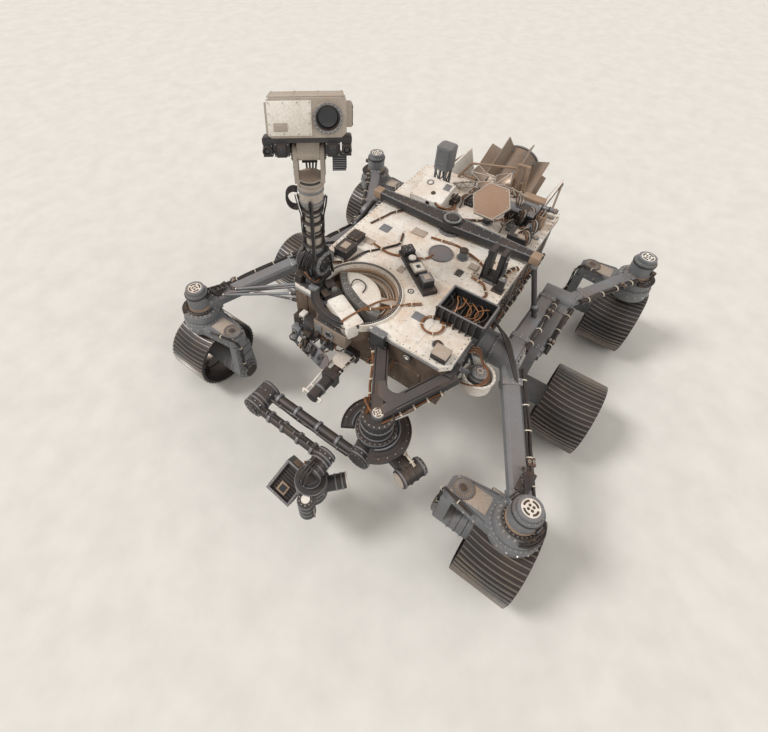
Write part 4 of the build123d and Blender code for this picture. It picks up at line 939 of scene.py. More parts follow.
def rail_fittings():
    """Frames, lens, windows and plate on the row of small boxes, the round plate and the knob."""
    z = DECK_TOP
    form = Form()
    form.at = turned((284, 38, z), z=54)
    # Grey-framed white square with its window
    for w, h, m in ((84, 56, WARM), (64, 60, WHITE), (26, 62, GLASS)):
        form.box((4 - w / 2, -w / 2, h - 6), (4 + w / 2, w / 2, h), m, 1.5)
    form.screws([(4 + a * 37, b * 37, 56) for a in (-1, 1) for b in (-1, 1)], UP, 3.5, 3)
    # White round cover
    form.lathe((-88, 0, 48), UP, [(0, 0), (24, 0), (24, 8), (18, 12), (0, 12)], WHITE, 32)
    form.circle((-88, 0, 56), UP, 21, 6, 2.4, 3)
    # Dark block at one end and a grey square plate with a raised middle at the other
    form.box((-194, -38, 66), (-126, 38, 72), BLACK, 2)
    form.circle((-160, 0, 72), UP, 22, 6, 4, 4)
    form.box((92, -36, 80), (164, 36, 84), CLEAR, 1.5)
    form.box((108, -20, 84), (148, 20, 90), WARM, 2)
    form.circle((128, 0, 84), UP, 30, 4, 4, 3, STEEL, 45)
    # Strip with slots along the rail
    for i in range(9):
        form.box((-190 + i * 44, -44, 30), (-168 + i * 44, -38, 34), PLASTIC)
        form.screws([(-196 + i * 44, 41, 30)], UP, 3, 3)
    form.at = Matrix()
    plate = (40, 70, z + 10)
    form.ring(plate, UP, 80, 70, 3, BLUE, 48, edge=1)
    form.circle((40, 70, z + 10), UP, 75, 12, 3, 5)
    form.lathe((-12, 200, z + 60), UP, [(0, 0), (28, 0), (28, 8), (18, 16), (0, 16)], PLASTIC, 28)
    form.flange((-12, 200, z), UP, 38, 26, 8, CLEAR, 28, 1.5, 32, 8, 3, 3)
    form.done("rail_fittings", "body")


def box_fittings():
    """Corner camera, and the lids, feet and plugs of the loose boxes on the deck."""
    z = DECK_TOP
    form = Form()
    # (x, y, length, width, height, lid)
    for x, y, l, w, h, m in ((404, -430, 120, 96, 62, BLACK), (262, -452, 96, 84, 44, PLASTIC),
                             (-372, 420, 110, 130, 74, BLACK), (-640, 330, 150, 190, 86, CLEAR),
                             (-700, 60, 120, 160, 58, BLACK)):
        form.box((x - l / 2 - 3, y - w / 2 - 3, z + h - 6), (x + l / 2 + 3, y + w / 2 + 3, z + h + 4), m, 2)
        places = [(x + a * (l / 2 - 6), y + b * (w / 2 - 6), z + h + 4) for a in (-1, 1) for b in (-1, 0, 1)]
        form.screws(places, UP, 4, 3.5)
        form.slab(x, y, l / 4, w / 4, z + h + 3, z + h + 9, WARM if m == BLACK else BLACK, 2)
        form.box((x - l / 2 - 10, y - w / 3, z), (x + l / 2 + 10, y + w / 3, z + 8), CLEAR, 2)
        for i in range(3):
            spot = Vector((x - l / 2 - 2, y - w / 4 + i * w / 4, z + h / 2))
            form.rod(spot, spot + Vector((-16, 0, 0)), 8, JACKET, sides=14, edge=1)
            form.ring(spot + Vector((-8, 0, 0)), BACK, 10, 8, 5, CLEAR, 14)
    # Corner camera: hooded lens slot, side plate and a dome beside it
    form.box((722, 424, z + 46), (802, 516, z + 54), WARM, 2)
    form.box((796, 436, z + 10), (803, 504, z + 42), BLACK, 2)
    form.box((800, 446, z + 16), (808, 494, z + 36), PLASTIC, 2)
    form.lathe((806, 470, z + 26), AHEAD, [(0, 0), (9, 0), (9, 3), (0, 5)], GLASS, 24)
    form.screws(grid((730, 794), (432, 508), z + 54), UP, 4, 3)
    form.lathe((700, 420, z), UP, [(0, 0), (26, 0), (26, 10), (20, 22), (10, 29), (0, 31)], PLASTIC, 28)
    form.ring((700, 420, z), UP, 32, 26, 5, CLEAR, 28, edge=1)
    form.done("box_fittings", "body")


# Mast and head

MAST = Vector((650, -478, 0))
TURNED = turned(MAST, z=39)
NODDED = TURNED @ turned((0, 0, 1945), y=-16)


def mast_fittings():
    """Drum caps, bands, cable bundles and ties of the standing mast."""
    z = DECK_TOP
    form = Form()
    x, y = MAST.x, MAST.y
    form.flange((x, y, z), UP, 74, 57, 12, CLEAR, 48, 2, 66, 14, 4.5, 5)
    for side in (1, -1):
        face = (x, y + side * 75, 1224)
        out = (0, side, 0)
        form.flange(face, out, 84, 58, 6, CLEAR, 48, 2, 71, 16, 4.5, 5)
        form.lathe(face, out, [(0, 0), (52, 0), (50, 4), (26, 9), (0, 9)], BLACK, 36)
        form.circle((x, y + side * 83, 1224), out, 36, 6, 4, 4)
    for dy in (-40, 0, 40):
        form.ring((x, y + dy - 5, 1224), LEFT, 88, 83, 10, BLACK, 48, edge=1.5)
    for low, high, r, m in ((1300, 1322, 52, CLEAR), (1450, 1462, 48, BLACK), (1560, 1572, 48, BLACK),
                            (1632, 1653, 60, CLEAR), (1660, 1672, 70, CLEAR), (1724, 1738, 70, CLEAR)):
        form.ring((x, y, low), UP, r, 43, high - low, m, 40, edge=2)
    form.circle((x, y, 1322), UP, 47.5, 12, 3, 4)
    form.circle((x, y, 1738), UP, 67.6, 14, 2.4, 3)
    form.studs((x, y, 1698), UP, 66, 10, 5, 4)
    # Harness up the front of the mast and over the drum
    for turn, seed, strands in ((37, 1, [(6, JACKET), (5, SLEEVE), (6, JACKET), (5, JACKET)]),
                                (-50, 2, [(6, JACKET), (5, JACKET), (4, SLEEVE)]),
                                (120, 3, [(5, JACKET), (4, JACKET)])):
        reach = around(turn)
        path = [Vector((x, y, h)) + reach * r for h, r in ((1130, 108), (1190, 98), (1260, 92), (1320, 64), (1400, 58),
                                                           (1480, 60), (1560, 59), (1630, 72), (1690, 80))]
        bundle(form, path, strands, 7, seed=seed, wander=0.3)
    for h in (1352, 1430, 1520, 1600):
        form.ring((x, y, h), UP, 66, 43, 9, BLACK, 32, edge=2)
    # Hoops of spare cable about the drum and the top
    for i, radius in enumerate((98, 106, 100)):
        turns = [radians(turn) for turn in range(-80, 140, 22)]
        hoop = [(x + radius * sin(a), y - 30 + 26 * i + 8 * sin(3 * a), 1224 + radius * cos(a)) for a in turns]
        form.cable(hoop, 6, JACKET)
    for i in range(3):
        start, side = Vector((x, y, 1700 - 8 * i)), Vector((0.78, 0.62, 0)) * (10 * i - 10)
        bends = ((0, 30), (30, 34), (56, 12), (60, -34), (40, -72), (6, -84))
        loop = [start + Vector((0.62, -0.78, 0)) * (72 + r) + side + Vector((0, 0, h)) for r, h in bends]
        form.cable(loop, 6, JACKET)
    form.done("mast_fittings", "body")


def neck_fittings():
    """Screws, bearing caps and cables of the turning neck."""
    form = Form()
    form.at = TURNED
    form.flange((0, 0, 1746), UP, 71, 66, 18, WARM, 40, 2, 68.4, 12, 2.2, 3)
    form.ring((0, 0, 1786), UP, 70, 66, 12, BLACK, 40, edge=1.5)
    for side in (1, -1):
        out = (0, side, 0)
        face = (0, side * 78, 1945)
        form.flange(face, out, 46, 30, 6, BLACK, 36, 1.5, 38, 8, 3.5, 4)
        form.lathe(face, out, [(0, 0), (26, 0), (24, 8), (0, 10)], WARM, 28)
        for z in (1830, 1872, 1908):
            form.screws([(-30, side * 78, z), (30, side * 78, z)], out, 4, 4)
        form.box((-20, side * 78 - 3, 1818), (20, side * 78 + 3, 1890), BLACK, 1.5)
    for i in range(4):
        loop = [(-56, 26 - 14 * i, 1770), (-66, 28 - 15 * i, 1796), (-67, 32 - 17 * i, 1836), (-52, 34 - 17 * i, 1872)]
        form.cable(loop, 5, JACKET)
    form.box((-56, -40, 1850), (-44, 40, 1886), BLACK, 2)
    form.done("mast_neck_fittings", "mast_neck")


def head_fittings():
    """Window, lenses, louvres, seams and screws of the head."""
    form = Form()
    form.at = NODDED
    form.lathe((88, 100, 168), AHEAD, [(0, 0), (55.5, 0), (55.5, 3), (30, 7), (0, 9)], GLASS, 48)
    form.ring((90, 100, 168), AHEAD, 56, 49, 20, PLASTIC, 48, edge=1)
    form.flange((116, 100, 168), AHEAD, 68, 57, 4, CLEAR, 48, 1.5, 62.5, 20, 3, 3)
    # Front cover with a seam, screws and a small window
    form.box((104, -176, 92), (107, 26, 244), WHITE, 1.5)
    form.screws(grid(107, (-168, -102, -36, 18), (100, 236)) + grid(107, (-168, 18), (146, 190)), AHEAD, 3.5, 3)
    form.box((106, -150, 112), (110, -86, 150), WARM, 1.5)
    # Top cover, side box and rear fins
    form.box((-80, -176, 254), (80, 176, 258), WARM, 1.5)
    form.screws(grid((-72, 0, 72), (-168, -56, 56, 168), 258), UP, 3.5, 3)
    form.box((-60, 212, 124), (60, 216, 212), BLACK, 1.5)
    form.screws(grid((-52, 0, 52), 216, (131, 205)), LEFT, 3.5, 3)
    form.lathe((0, 216, 168), LEFT, [(0, 0), (26, 0), (26, 2), (0, 3)], PLASTIC, 28)
    form.screws(grid((-80, 0, 80), -186, (104, 232)), RIGHT, 4, 3)
    form.box((-70, -190, 118), (70, -186, 220), WARM, 1.5)
    for i in range(9):
        form.box((-118, -160 + i * 38, 104), (-104, -156 + i * 38, 232), CLEAR, 1)
    # Cameras: round lenses outside, square hoods inside
    for side in (1, -1):
        y = side * 186
        form.ring((122, y, 29), AHEAD, 23, 15, 7, PLASTIC, 28, edge=1)
        form.lathe((121, y, 29), AHEAD, [(0, 0), (15, 0), (12, 2.5), (0, 4)], GLASS, 28)
        form.circle((104, y, 29), AHEAD, 27, 4, 3, 3, STEEL, 45)
        y = side * 120
        form.box((121, y - 20, 4), (128, y + 20, 54), PLASTIC, 2)
        form.box((127, y - 14, 10), (129, y + 14, 48), BLACK, 1)
        form.lathe((128, y, 29), AHEAD, [(0, 0), (11, 0), (9, 2.5), (0, 3.5)], GLASS, 24)
        form.screws([(104, y + dy, z) for dy in (-29, 29) for z in (4, 54)], AHEAD, 3, 3)
    form.beam((58, -205, 84), (58, 205, 84), 84, 4, BLACK, 1.5)
    # Louvred box under the bar
    for i in range(7):
        form.box((77, 120, -76 + i * 11), (84, 180, -71 + i * 11), CLEAR, 1)
    form.box((20, 182.5, -72), (70, 186, -10), BLACK, 1)
    bundle(form, [(-104, 60, 150), (-122, 36, 118), (-112, 0, 84), (-66, -14, 74), (-30, -10, 62)],
           [(5, JACKET), (5, JACKET), (4, JACKET)], 7, seed=4)
    for side in (1, -1):
        form.cable([(20, side * 186, 0), (0, side * 190, -14), (-20, side * 150, -6), (-30, side * 90, 30)], 4, JACKET)
    form.done("mast_head_fittings", "mast_head")


# Arm

def bracket_fittings():
    """Screws, ribs, mark and cables of the two-beam bracket and the fixed drum."""
    form = Form()
    vertex = Vector((*SHOULDER, 893))
    # (start, first and last place along the beam, side of the cables)
    for start, low, high, out in (((718, 81, 1024), 130, 400, -1), ((752, 574, 1024), 100, 370, 1)):
        start = Vector(start)
        along = (vertex - start).normalized()
        across = Vector(UP).cross(along).normalized()
        lift = along.cross(across)
        a, b = start + along * low, start + along * high
        for side in (-1, 1):
            form.beam(a + across * side * 36 + lift * 41, b + across * side * 36 + lift * 41, 9, 5, BLACK, 1.5)
        for i in range(4):
            place = a + along * (12 + (high - low - 24) * i / 3)
            form.circle(place + across * out * 41, across * out, 0, 1, 6, 4)
            clip = place + across * out * 50 - lift * 20
            form.beam(clip - along * 5, clip + along * 5, 20, 18, TIE, 2)
        path = [vertex + across * out * 60 + lift * 14]
        path += [b.lerp(a, t) + across * out * (48 + 4 * sin(7 * t)) - lift * 20 for t in (0, 0.25, 0.5, 0.75, 1)]
        bundle(form, path, [(3.4, COPPER), (3.4, COPPER), (3, JACKET)], 5, seed=3 + out, wander=0.3)
    # Rounded fork where the beams meet
    form.at = turned((936.6, 340, 958.7), y=17.9)
    form.ring((0, 0, -41), UP, 137, 68, 82, BLACK, 32, span=120, first=-60, edge=4)
    form.at = Matrix()
    form.screws([(828, 122 + dy, z) for dy in (-46, 46) for z in (952, 1028)], AHEAD, 6, 5)
    form.screws(grid((704, 800), 574, (952, 1028)), LEFT, 6, 5)
    # Square grey plate over the deck's edge
    form.box((806, 76, DECK_TOP + 14), (856, 168, DECK_TOP + 20), CLEAR, 2)
    form.screws(grid((815, 847), (86, 122, 158), DECK_TOP + 20), UP, 4.5, 4)
    x, y = SHOULDER
    form.flange((x, y, 906), UP, 92, 70, 6, BLACK, 48, 1.5, 82, 18, 4.5, 4)
    form.lathe((x + 6, y + 4, 906), UP, [(0, 0), (36, 0), (36, 31), (33, 34), (0, 34)], CLEAR, 36)
    target(form, (x + 6, y + 4, 940), 30, 10)
    for z in (772, 846):
        form.ring((x, y, z), UP, 96, 91, 12, CLEAR, 56, edge=2)
    form.circle((x, y, 858), UP, 94, 24, 3, 3)
    for i in range(3):
        form.cable([(x + 20, y - 40 + 10 * i, 925), (x - 20, y - 92 - 6 * i, 930), (x - 70, y - 100, 880 - 8 * i),
                    (x - 40, y - 98, 800), (x + 10, y - 97, 775)], 3.6, COPPER)
    form.done("arm_bracket_fittings", "body")


def shoulder_fittings():
    """Bright collar rim, cable guide, lifting motor, screws and housing caps of the shoulder."""
    form = Form()
    x, y = SHOULDER
    form.flange((x, y, 748), UP, 118.5, 115, 18, CLEAR, 60, 1, 108, 24, 4, 3)
    form.circle((x, y, 721.7), DOWN, 104, 20, 4, 4)
    # Guide: lips on the open flange, and the standing bowl wall with its rolled bright edge
    for first, span in ((30, 118), (212, 89)):
        form.ring((x, y, 744), UP, 200, 194, 9, BLACK, 60, span=span, first=first, edge=1.5)
        form.ring((x, y, 744), UP, 166, 163, 4, BLACK, 60, span=span, first=first)
        wall = [(122, 0), (134, 0), (136, 14), (139, 17), (136, 21), (130, 20), (126, 12)]
        form.lathe((x, y, 744), UP, wall, CLEAR, 48, span=span, first=first)
        for i in range(span // 16):
            form.screws([Vector((x, y, 745)) + around(first + 8 + 16 * i) * 181], UP, 4, 4)
    for dx in (1088, 1150, 1216):
        form.ring((dx, y, ARM_Z), AHEAD, 72, 65, 14, BLACK, 48, edge=2)
    form.circle((1230, y, ARM_Z), AHEAD, 69, 16, 3, 4)
    form.flange((1080, y, ARM_Z), BACK, 64, 40, 6, CLEAR, 40, 2, 53, 10, 4, 4)
    form.lathe((1080, y, ARM_Z), BACK, [(0, 0), (34, 0), (30, 8), (0, 8)], BLACK, 28)
    # Lifting motor: bands, pale end cap, screws, its beam's edge rails and the motor's cable
    start, end = Vector((x + 130, y + 245, ARM_Z)), Vector((x - 20, y + 300, ARM_Z))
    along = (end - start).normalized()
    for share, m in ((0.04, CLEAR), (0.3, BLACK), (0.55, BLACK), (0.86, CLEAR)):
        form.ring(start + (end - start) * share, along, 57, 51, 12, m, 48, edge=2)
    form.circle(start + (end - start) * 0.86 + along * 12, along, 54.5, 12, 2.6, 3)
    for point, out in ((start, -along), (end, along)):
        form.lathe(point, out, [(0, 0), (46, 0), (44, 6), (24, 10), (0, 10)], WARM, 40)
        form.circle(point + out * 6, out, 37, 8, 3.6, 4)
    a, b = Vector((x, y + 66, ARM_Z)), Vector((x + 50, y + 250, ARM_Z))
    for side in (-1, 1):
        form.beam(a + Vector((side * 32, 0, 47)), b + Vector((side * 32, 0, 47)), 12, 6, BLACK, 1.5)
        form.beam(a + Vector((side * 42, 6, 0)), b + Vector((side * 42, 6, 0)), 5, 40, BLACK, 2)
    form.screws([Vector((x + side * 32, y + 80, 686)) + Vector((10, 40, 0)) * i for side in (-1, 1) for i in range(4)],
                UP, 4, 3)
    bundle(form, [(1175, 620, 690), (1150, 560, 706), (1142, 500, 700), (1150, 440, 712), (1172, 428, 735)],
           [(4.5, TIE), (4.5, TIE), (4, WARM)], 8, seed=14, ties=4)
    form.done("arm_shoulder_fittings", "arm_shoulder")


def link_fittings(name, x, near, far, width, radius, outer):
    """Joint bands, screws, end caps, tube collars and harness of an arm link."""
    form = Form()
    way = 1 if far > near else -1
    middle = x + 30
    for y, span, r in ((near, 60, 66), (far, width, radius)):
        for dx in (8, span - 18):
            form.ring((x + dx, y, ARM_Z), AHEAD, r + 4, r - 1, 10, CLEAR, 48, edge=1.5)
        form.circle((x + span - 8, y, ARM_Z), AHEAD, r - 8, 14, 3.6, 9.5)
        form.studs((x + span / 2, y, ARM_Z), AHEAD, r, 10, 4.5, 4, 10)
    if outer:
        form.lathe((x + 60, near, ARM_Z), AHEAD, [(0, 0), (48, 0), (44, 8), (20, 12), (0, 12)], BLACK, 36)
        form.circle((x + 67, near, ARM_Z), AHEAD, 34, 8, 3.5, 4)
    a, b = near + way * 60, far - way * 60
    for share in (0.15, 0.4, 0.68, 0.93):
        y = a + (b - a) * share
        form.flange((middle, y, ARM_Z), (0, way, 0), 38, 29, 18, CLEAR, 36, 2, 34, 8, 2.8, 3)
    aside, above = (4, 40) if outer else (38, 12)
    path = [(middle + aside, a + (b - a) * t, ARM_Z + above + 3 * sin(t * 20)) for t in (0, 0.2, 0.4, 0.6, 0.8, 1)]
    bundle(form, path, [(4.5, JACKET), (4.5, JACKET), (4, SLEEVE), (4, JACKET)], 7, seed=6, ties=4, tie=CLEAR)
    form.done(name + "_fittings", name)


def turret_fittings():
    """Frames, windows, drill, sensors and cables on the arm's tools."""
    top = 573.4
    form = Form()
    form.at = Matrix.Translation((1536.9, 180, top))
    for z in (-14, -60, -120, -170):
        form.ring((0, 0, z), UP, 92, 87, 10, CLEAR, 48, edge=1.5)
    form.studs((0, 0, -90), UP, 88, 12, 5, 4)
    # Drill: bit tube, bands and a pale ring
    form.rod((96, 42, -230), (96, 42, -252), 30, TITANIUM, far=22, sides=28, edge=2)
    form.rod((96, 42, -252), (96, 42, -268), 14, BLACK, sides=20, edge=1)
    for z in (-50, -110, -170, -222):
        form.ring((96, 42, z), UP, 50, 45, 9, CLEAR, 40, edge=1.5)
    form.circle((96, 42, -24), UP, 36, 10, 4, 5)
    form.lathe((96, 42, -24), UP, [(0, 0), (26, 0), (24, 6), (0, 8)], WHITE, 28)
    for dy in (-1, 1):
        form.rod((96, 42 + 54 * dy, -60), (96, 42 + 54 * dy, -214), 6, TITANIUM, sides=14)
    # Close camera's cap and dust cover
    a, b = Vector((-40, 40, -112)), Vector((-146, 140, -98))
    along = (b - a).normalized()
    form.ring(b - along * 2, along, 47, 30, 8, WHITE, 40, edge=1.5)
    form.lathe(b - along * 4, along, [(0, 0), (30, 0), (25, 5), (0, 7)], GLASS, 36)
    form.circle(b + along * 6, along, 39, 10, 3, 3)
    for share in (0.55, 0.8):
        form.ring(a + (b - a) * share, along, 49, 44, 9, CLEAR, 40, edge=1.5)
    form.box((-104, -38, -156), (-95, 44, -48), WHITE, 2)
    form.screws(grid(-104, (-30, 36), (-148, -102, -56)), BACK, 4, 3)
    bundle(form, [(-40, -60, 6), (-70, -96, -30), (-84, -84, -90), (-60, -90, -150), (-10, -100, -170)],
           [(5, JACKET), (5, JACKET), (4, JACKET), (4, COPPER)], 9, seed=5)
    # Framed instrument: light frame, ribbed dark panel and a small window
    form.at = form.at @ turned((34, -134, -158), x=-15, y=30)
    for a, b in (((-94, -76), (94, -76)), ((-94, 76), (94, 76)), ((-94, -76), (-94, 76)), ((94, -76), (94, 76))):
        form.beam((*a, 74.5), (*b, 74.5), 14, 5, CLEAR, 1)
    form.screws(grid((-94, -47, 0, 47, 94), (-76, 76), 77) + grid((-94, 94), (-38, 0, 38), 77), UP, 4, 3)
    for i in range(9):
        form.box((-80 + i * 18, -64, 51), (-73 + i * 18, 64, 60), BLACK, 1)
    form.box((14, -34, 54), (74, 26, 68), BROWN, 2)
    form.box((24, -24, 67), (64, 16, 69), GLASS, 1)
    form.screws(grid((18, 70), (-30, 22), 68), UP, 3, 2)
    for side in (-1, 1):
        form.box((-88, side * 84 - 2, -60), (88, side * 84 + 2, 60), BLACK, 1.5)
        for x in (-60, 0, 60):
            form.box((x - 18, side * 86 - 2, -42), (x + 18, side * 86 + 2, 42), CLEAR, 1.5)
        form.screws(grid((-82, -30, 30, 82), side * 86, (-54, 54)), (0, side, 0), 4, 3)
    form.box((-106, -52, -60), (-100, 52, 50), BROWN, 1.5)
    form.box((100, -60, -50), (105, 60, 56), BLACK, 1.5)
    form.screws(grid(105, (-52, 52), (-42, 48)), AHEAD, 4, 3)
    form.done("arm_turret_fittings", "arm_turret")


def wrist_fittings():
    """Bands, screws and a loop of cable on the wrist."""
    form = Form()
    for x in (1446, 1484, 1516):
        form.ring((x, 180, ARM_Z), AHEAD, 60, 55, 9, CLEAR, 44, edge=1.5)
    form.ring((1536.9, 180, 580), UP, 60, 55, 12, CLEAR, 44, edge=1.5)
    form.circle((1455, 180, ARM_Z), AHEAD, 57.5, 12, 2, 3)
    for i in range(3):
        loop = [(1460, 180 - 14 + 14 * i, ARM_Z + 58), (1500, 176 - 16 + 16 * i, ARM_Z + 66),
                (1560, 170 - 18 + 18 * i, ARM_Z + 50), (1592, 170 - 20 + 20 * i, ARM_Z + 4),
                (1594, 170 - 20 + 20 * i, 596)]
        form.cable(loop, 5, JACKET)
    form.done("arm_wrist_fittings", "arm_wrist")


# Antennas, rear and walls


def antenna_fittings():
    """Face of the hexagonal antenna, its screws, and bands on its yoke and on the post antenna."""
    form = Form()
    form.at = turned((-440, 165, 1274), y=34)
    form.lathe((0, 0, 51.5), UP, [(0, 0), (125.5, 0), (125.5, 2.5), (122, 4), (0, 4)], RADOME, 6, first=30)
    form.circle((0, 0, 55.5), UP, 112, 6, 3.5, 2, STEEL, 30)
    for turn in (60, 120, 240, 300):
        reach = around(turn)
        form.beam(reach * 80 + Vector((0, 0, 31)), reach * 112 + Vector((0, 0, 31)), 8, 7, CLEAR, 1)
    form.done("antenna_plate_fittings", "antenna_plate")

    form = Form()
    for side in (1, -1):
        out = (0, side, 0)
        form.flange((-440, 165 + side * 53, 1274), out, 21, 12, 4, CLEAR, 28, 1, 16.5, 6, 2, 2)
    form.ring((-440, 165, 1158), UP, 31, 27, 10, CLEAR, 32, edge=1.5)
    form.done("antenna_yoke_fittings", "antenna_yoke")

    form = Form()
    x, y = -620, -303
    form.flange((-440, 165, DECK_TOP), UP, 42, 27, 8, CLEAR, 32, 1.5, 36, 8, 3, 3)
    form.slab(x, y, 50, 50, 1464, 1468, CLEAR, 2)
    form.screws([(x + a * 42, y + b * 42, 1468) for a in (-1, 0, 1) for b in (-1, 0, 1) if a or b], UP, 3.5, 3)
    for z in (1296, 1336, 1448):
        for dx, dy, l, w in ((0, 59, 88, 3), (0, -59, 88, 3), (59, 0, 3, 88), (-59, 0, 3, 88)):
            form.box((x + dx - l / 2, y + dy - w / 2, z), (x + dx + l / 2, y + dy + w / 2, z + 10), CLEAR, 1)
    for dx, dy in ((-41, -41), (-41, 41), (41, -41), (41, 41)):
        form.ring((x + dx, y + dy, DECK_TOP), UP, 18, 8, 6, CLEAR, 20, edge=1)
        form.ring((x + dx, y + dy, 1286), UP, 14, 8, 10, CLEAR, 20, edge=1)
    for a, b in (((-41, -41), (41, -41)), ((41, -41), (41, 41)), ((41, 41), (-41, 41)), ((-41, 41), (-41, -41))):
        form.rod((x + a[0], y + a[1], 1140), (x + b[0], y + b[1], 1280), 4, BLACK, sides=10)
    form.cable([(x, y, 1296), (x + 10, y + 10, 1230), (x + 40, y + 60, 1160), (x + 90, y + 110, 1128)], 5, JACKET)
    form.cable([(x - 8, y, 1296), (x, y + 6, 1230), (x + 20, y + 70, 1150), (x + 60, y + 130, 1128)], 5, COPPER)
    form.done("post_antenna_fittings", "body")


def rear_box_fittings():
    """Sloping lid, black dot, seams and orange flex of the white box."""
    form = Form()
    form.at = turned((-430, -272, 1217), y=degrees(atan2(54, 210)))
    form.box((-106, -123, 0), (106, 123, 4), WHITE, 1.5)
    form.screws(grid((-98, -33, 33, 98), (-115, 115), 4) + grid((-98, 98), 0, 4), UP, 4, 3)
    form.disc((30, 20, 4), UP, 17, 3, PLASTIC, 28)
    form.ring((-50, -50, 4), UP, 26, 18, 4, CLEAR, 28, edge=1)
    form.box((-90, 60, 4), (-30, 108, 8), CLEAR, 1.5)
    form.at = Matrix()
    form.box((-325, -380, 1126), (-322, -164, 1176), WHITE, 1)
    form.screws(grid(-322, (-370, -272, -174), (1134, 1168)), AHEAD, 3.5, 3)
    form.disc((-321, -250, 1176), AHEAD, 15, 3, PLASTIC, 28)
    for i in range(3):
        form.cable([(-322, -190 + 6 * i, 1200), (-292, -170 + 8 * i, 1210), (-300, -130 + 8 * i, 1190 + 6 * i),
                    (-350, -104 + 8 * i, 1170), (-410, -92 + 8 * i, 1150), (-480, -120 + 6 * i, 1134)], 6.5,
                   COPPER if i else JACKET, sides=4)
    form.done("rear_box_fittings", "body")


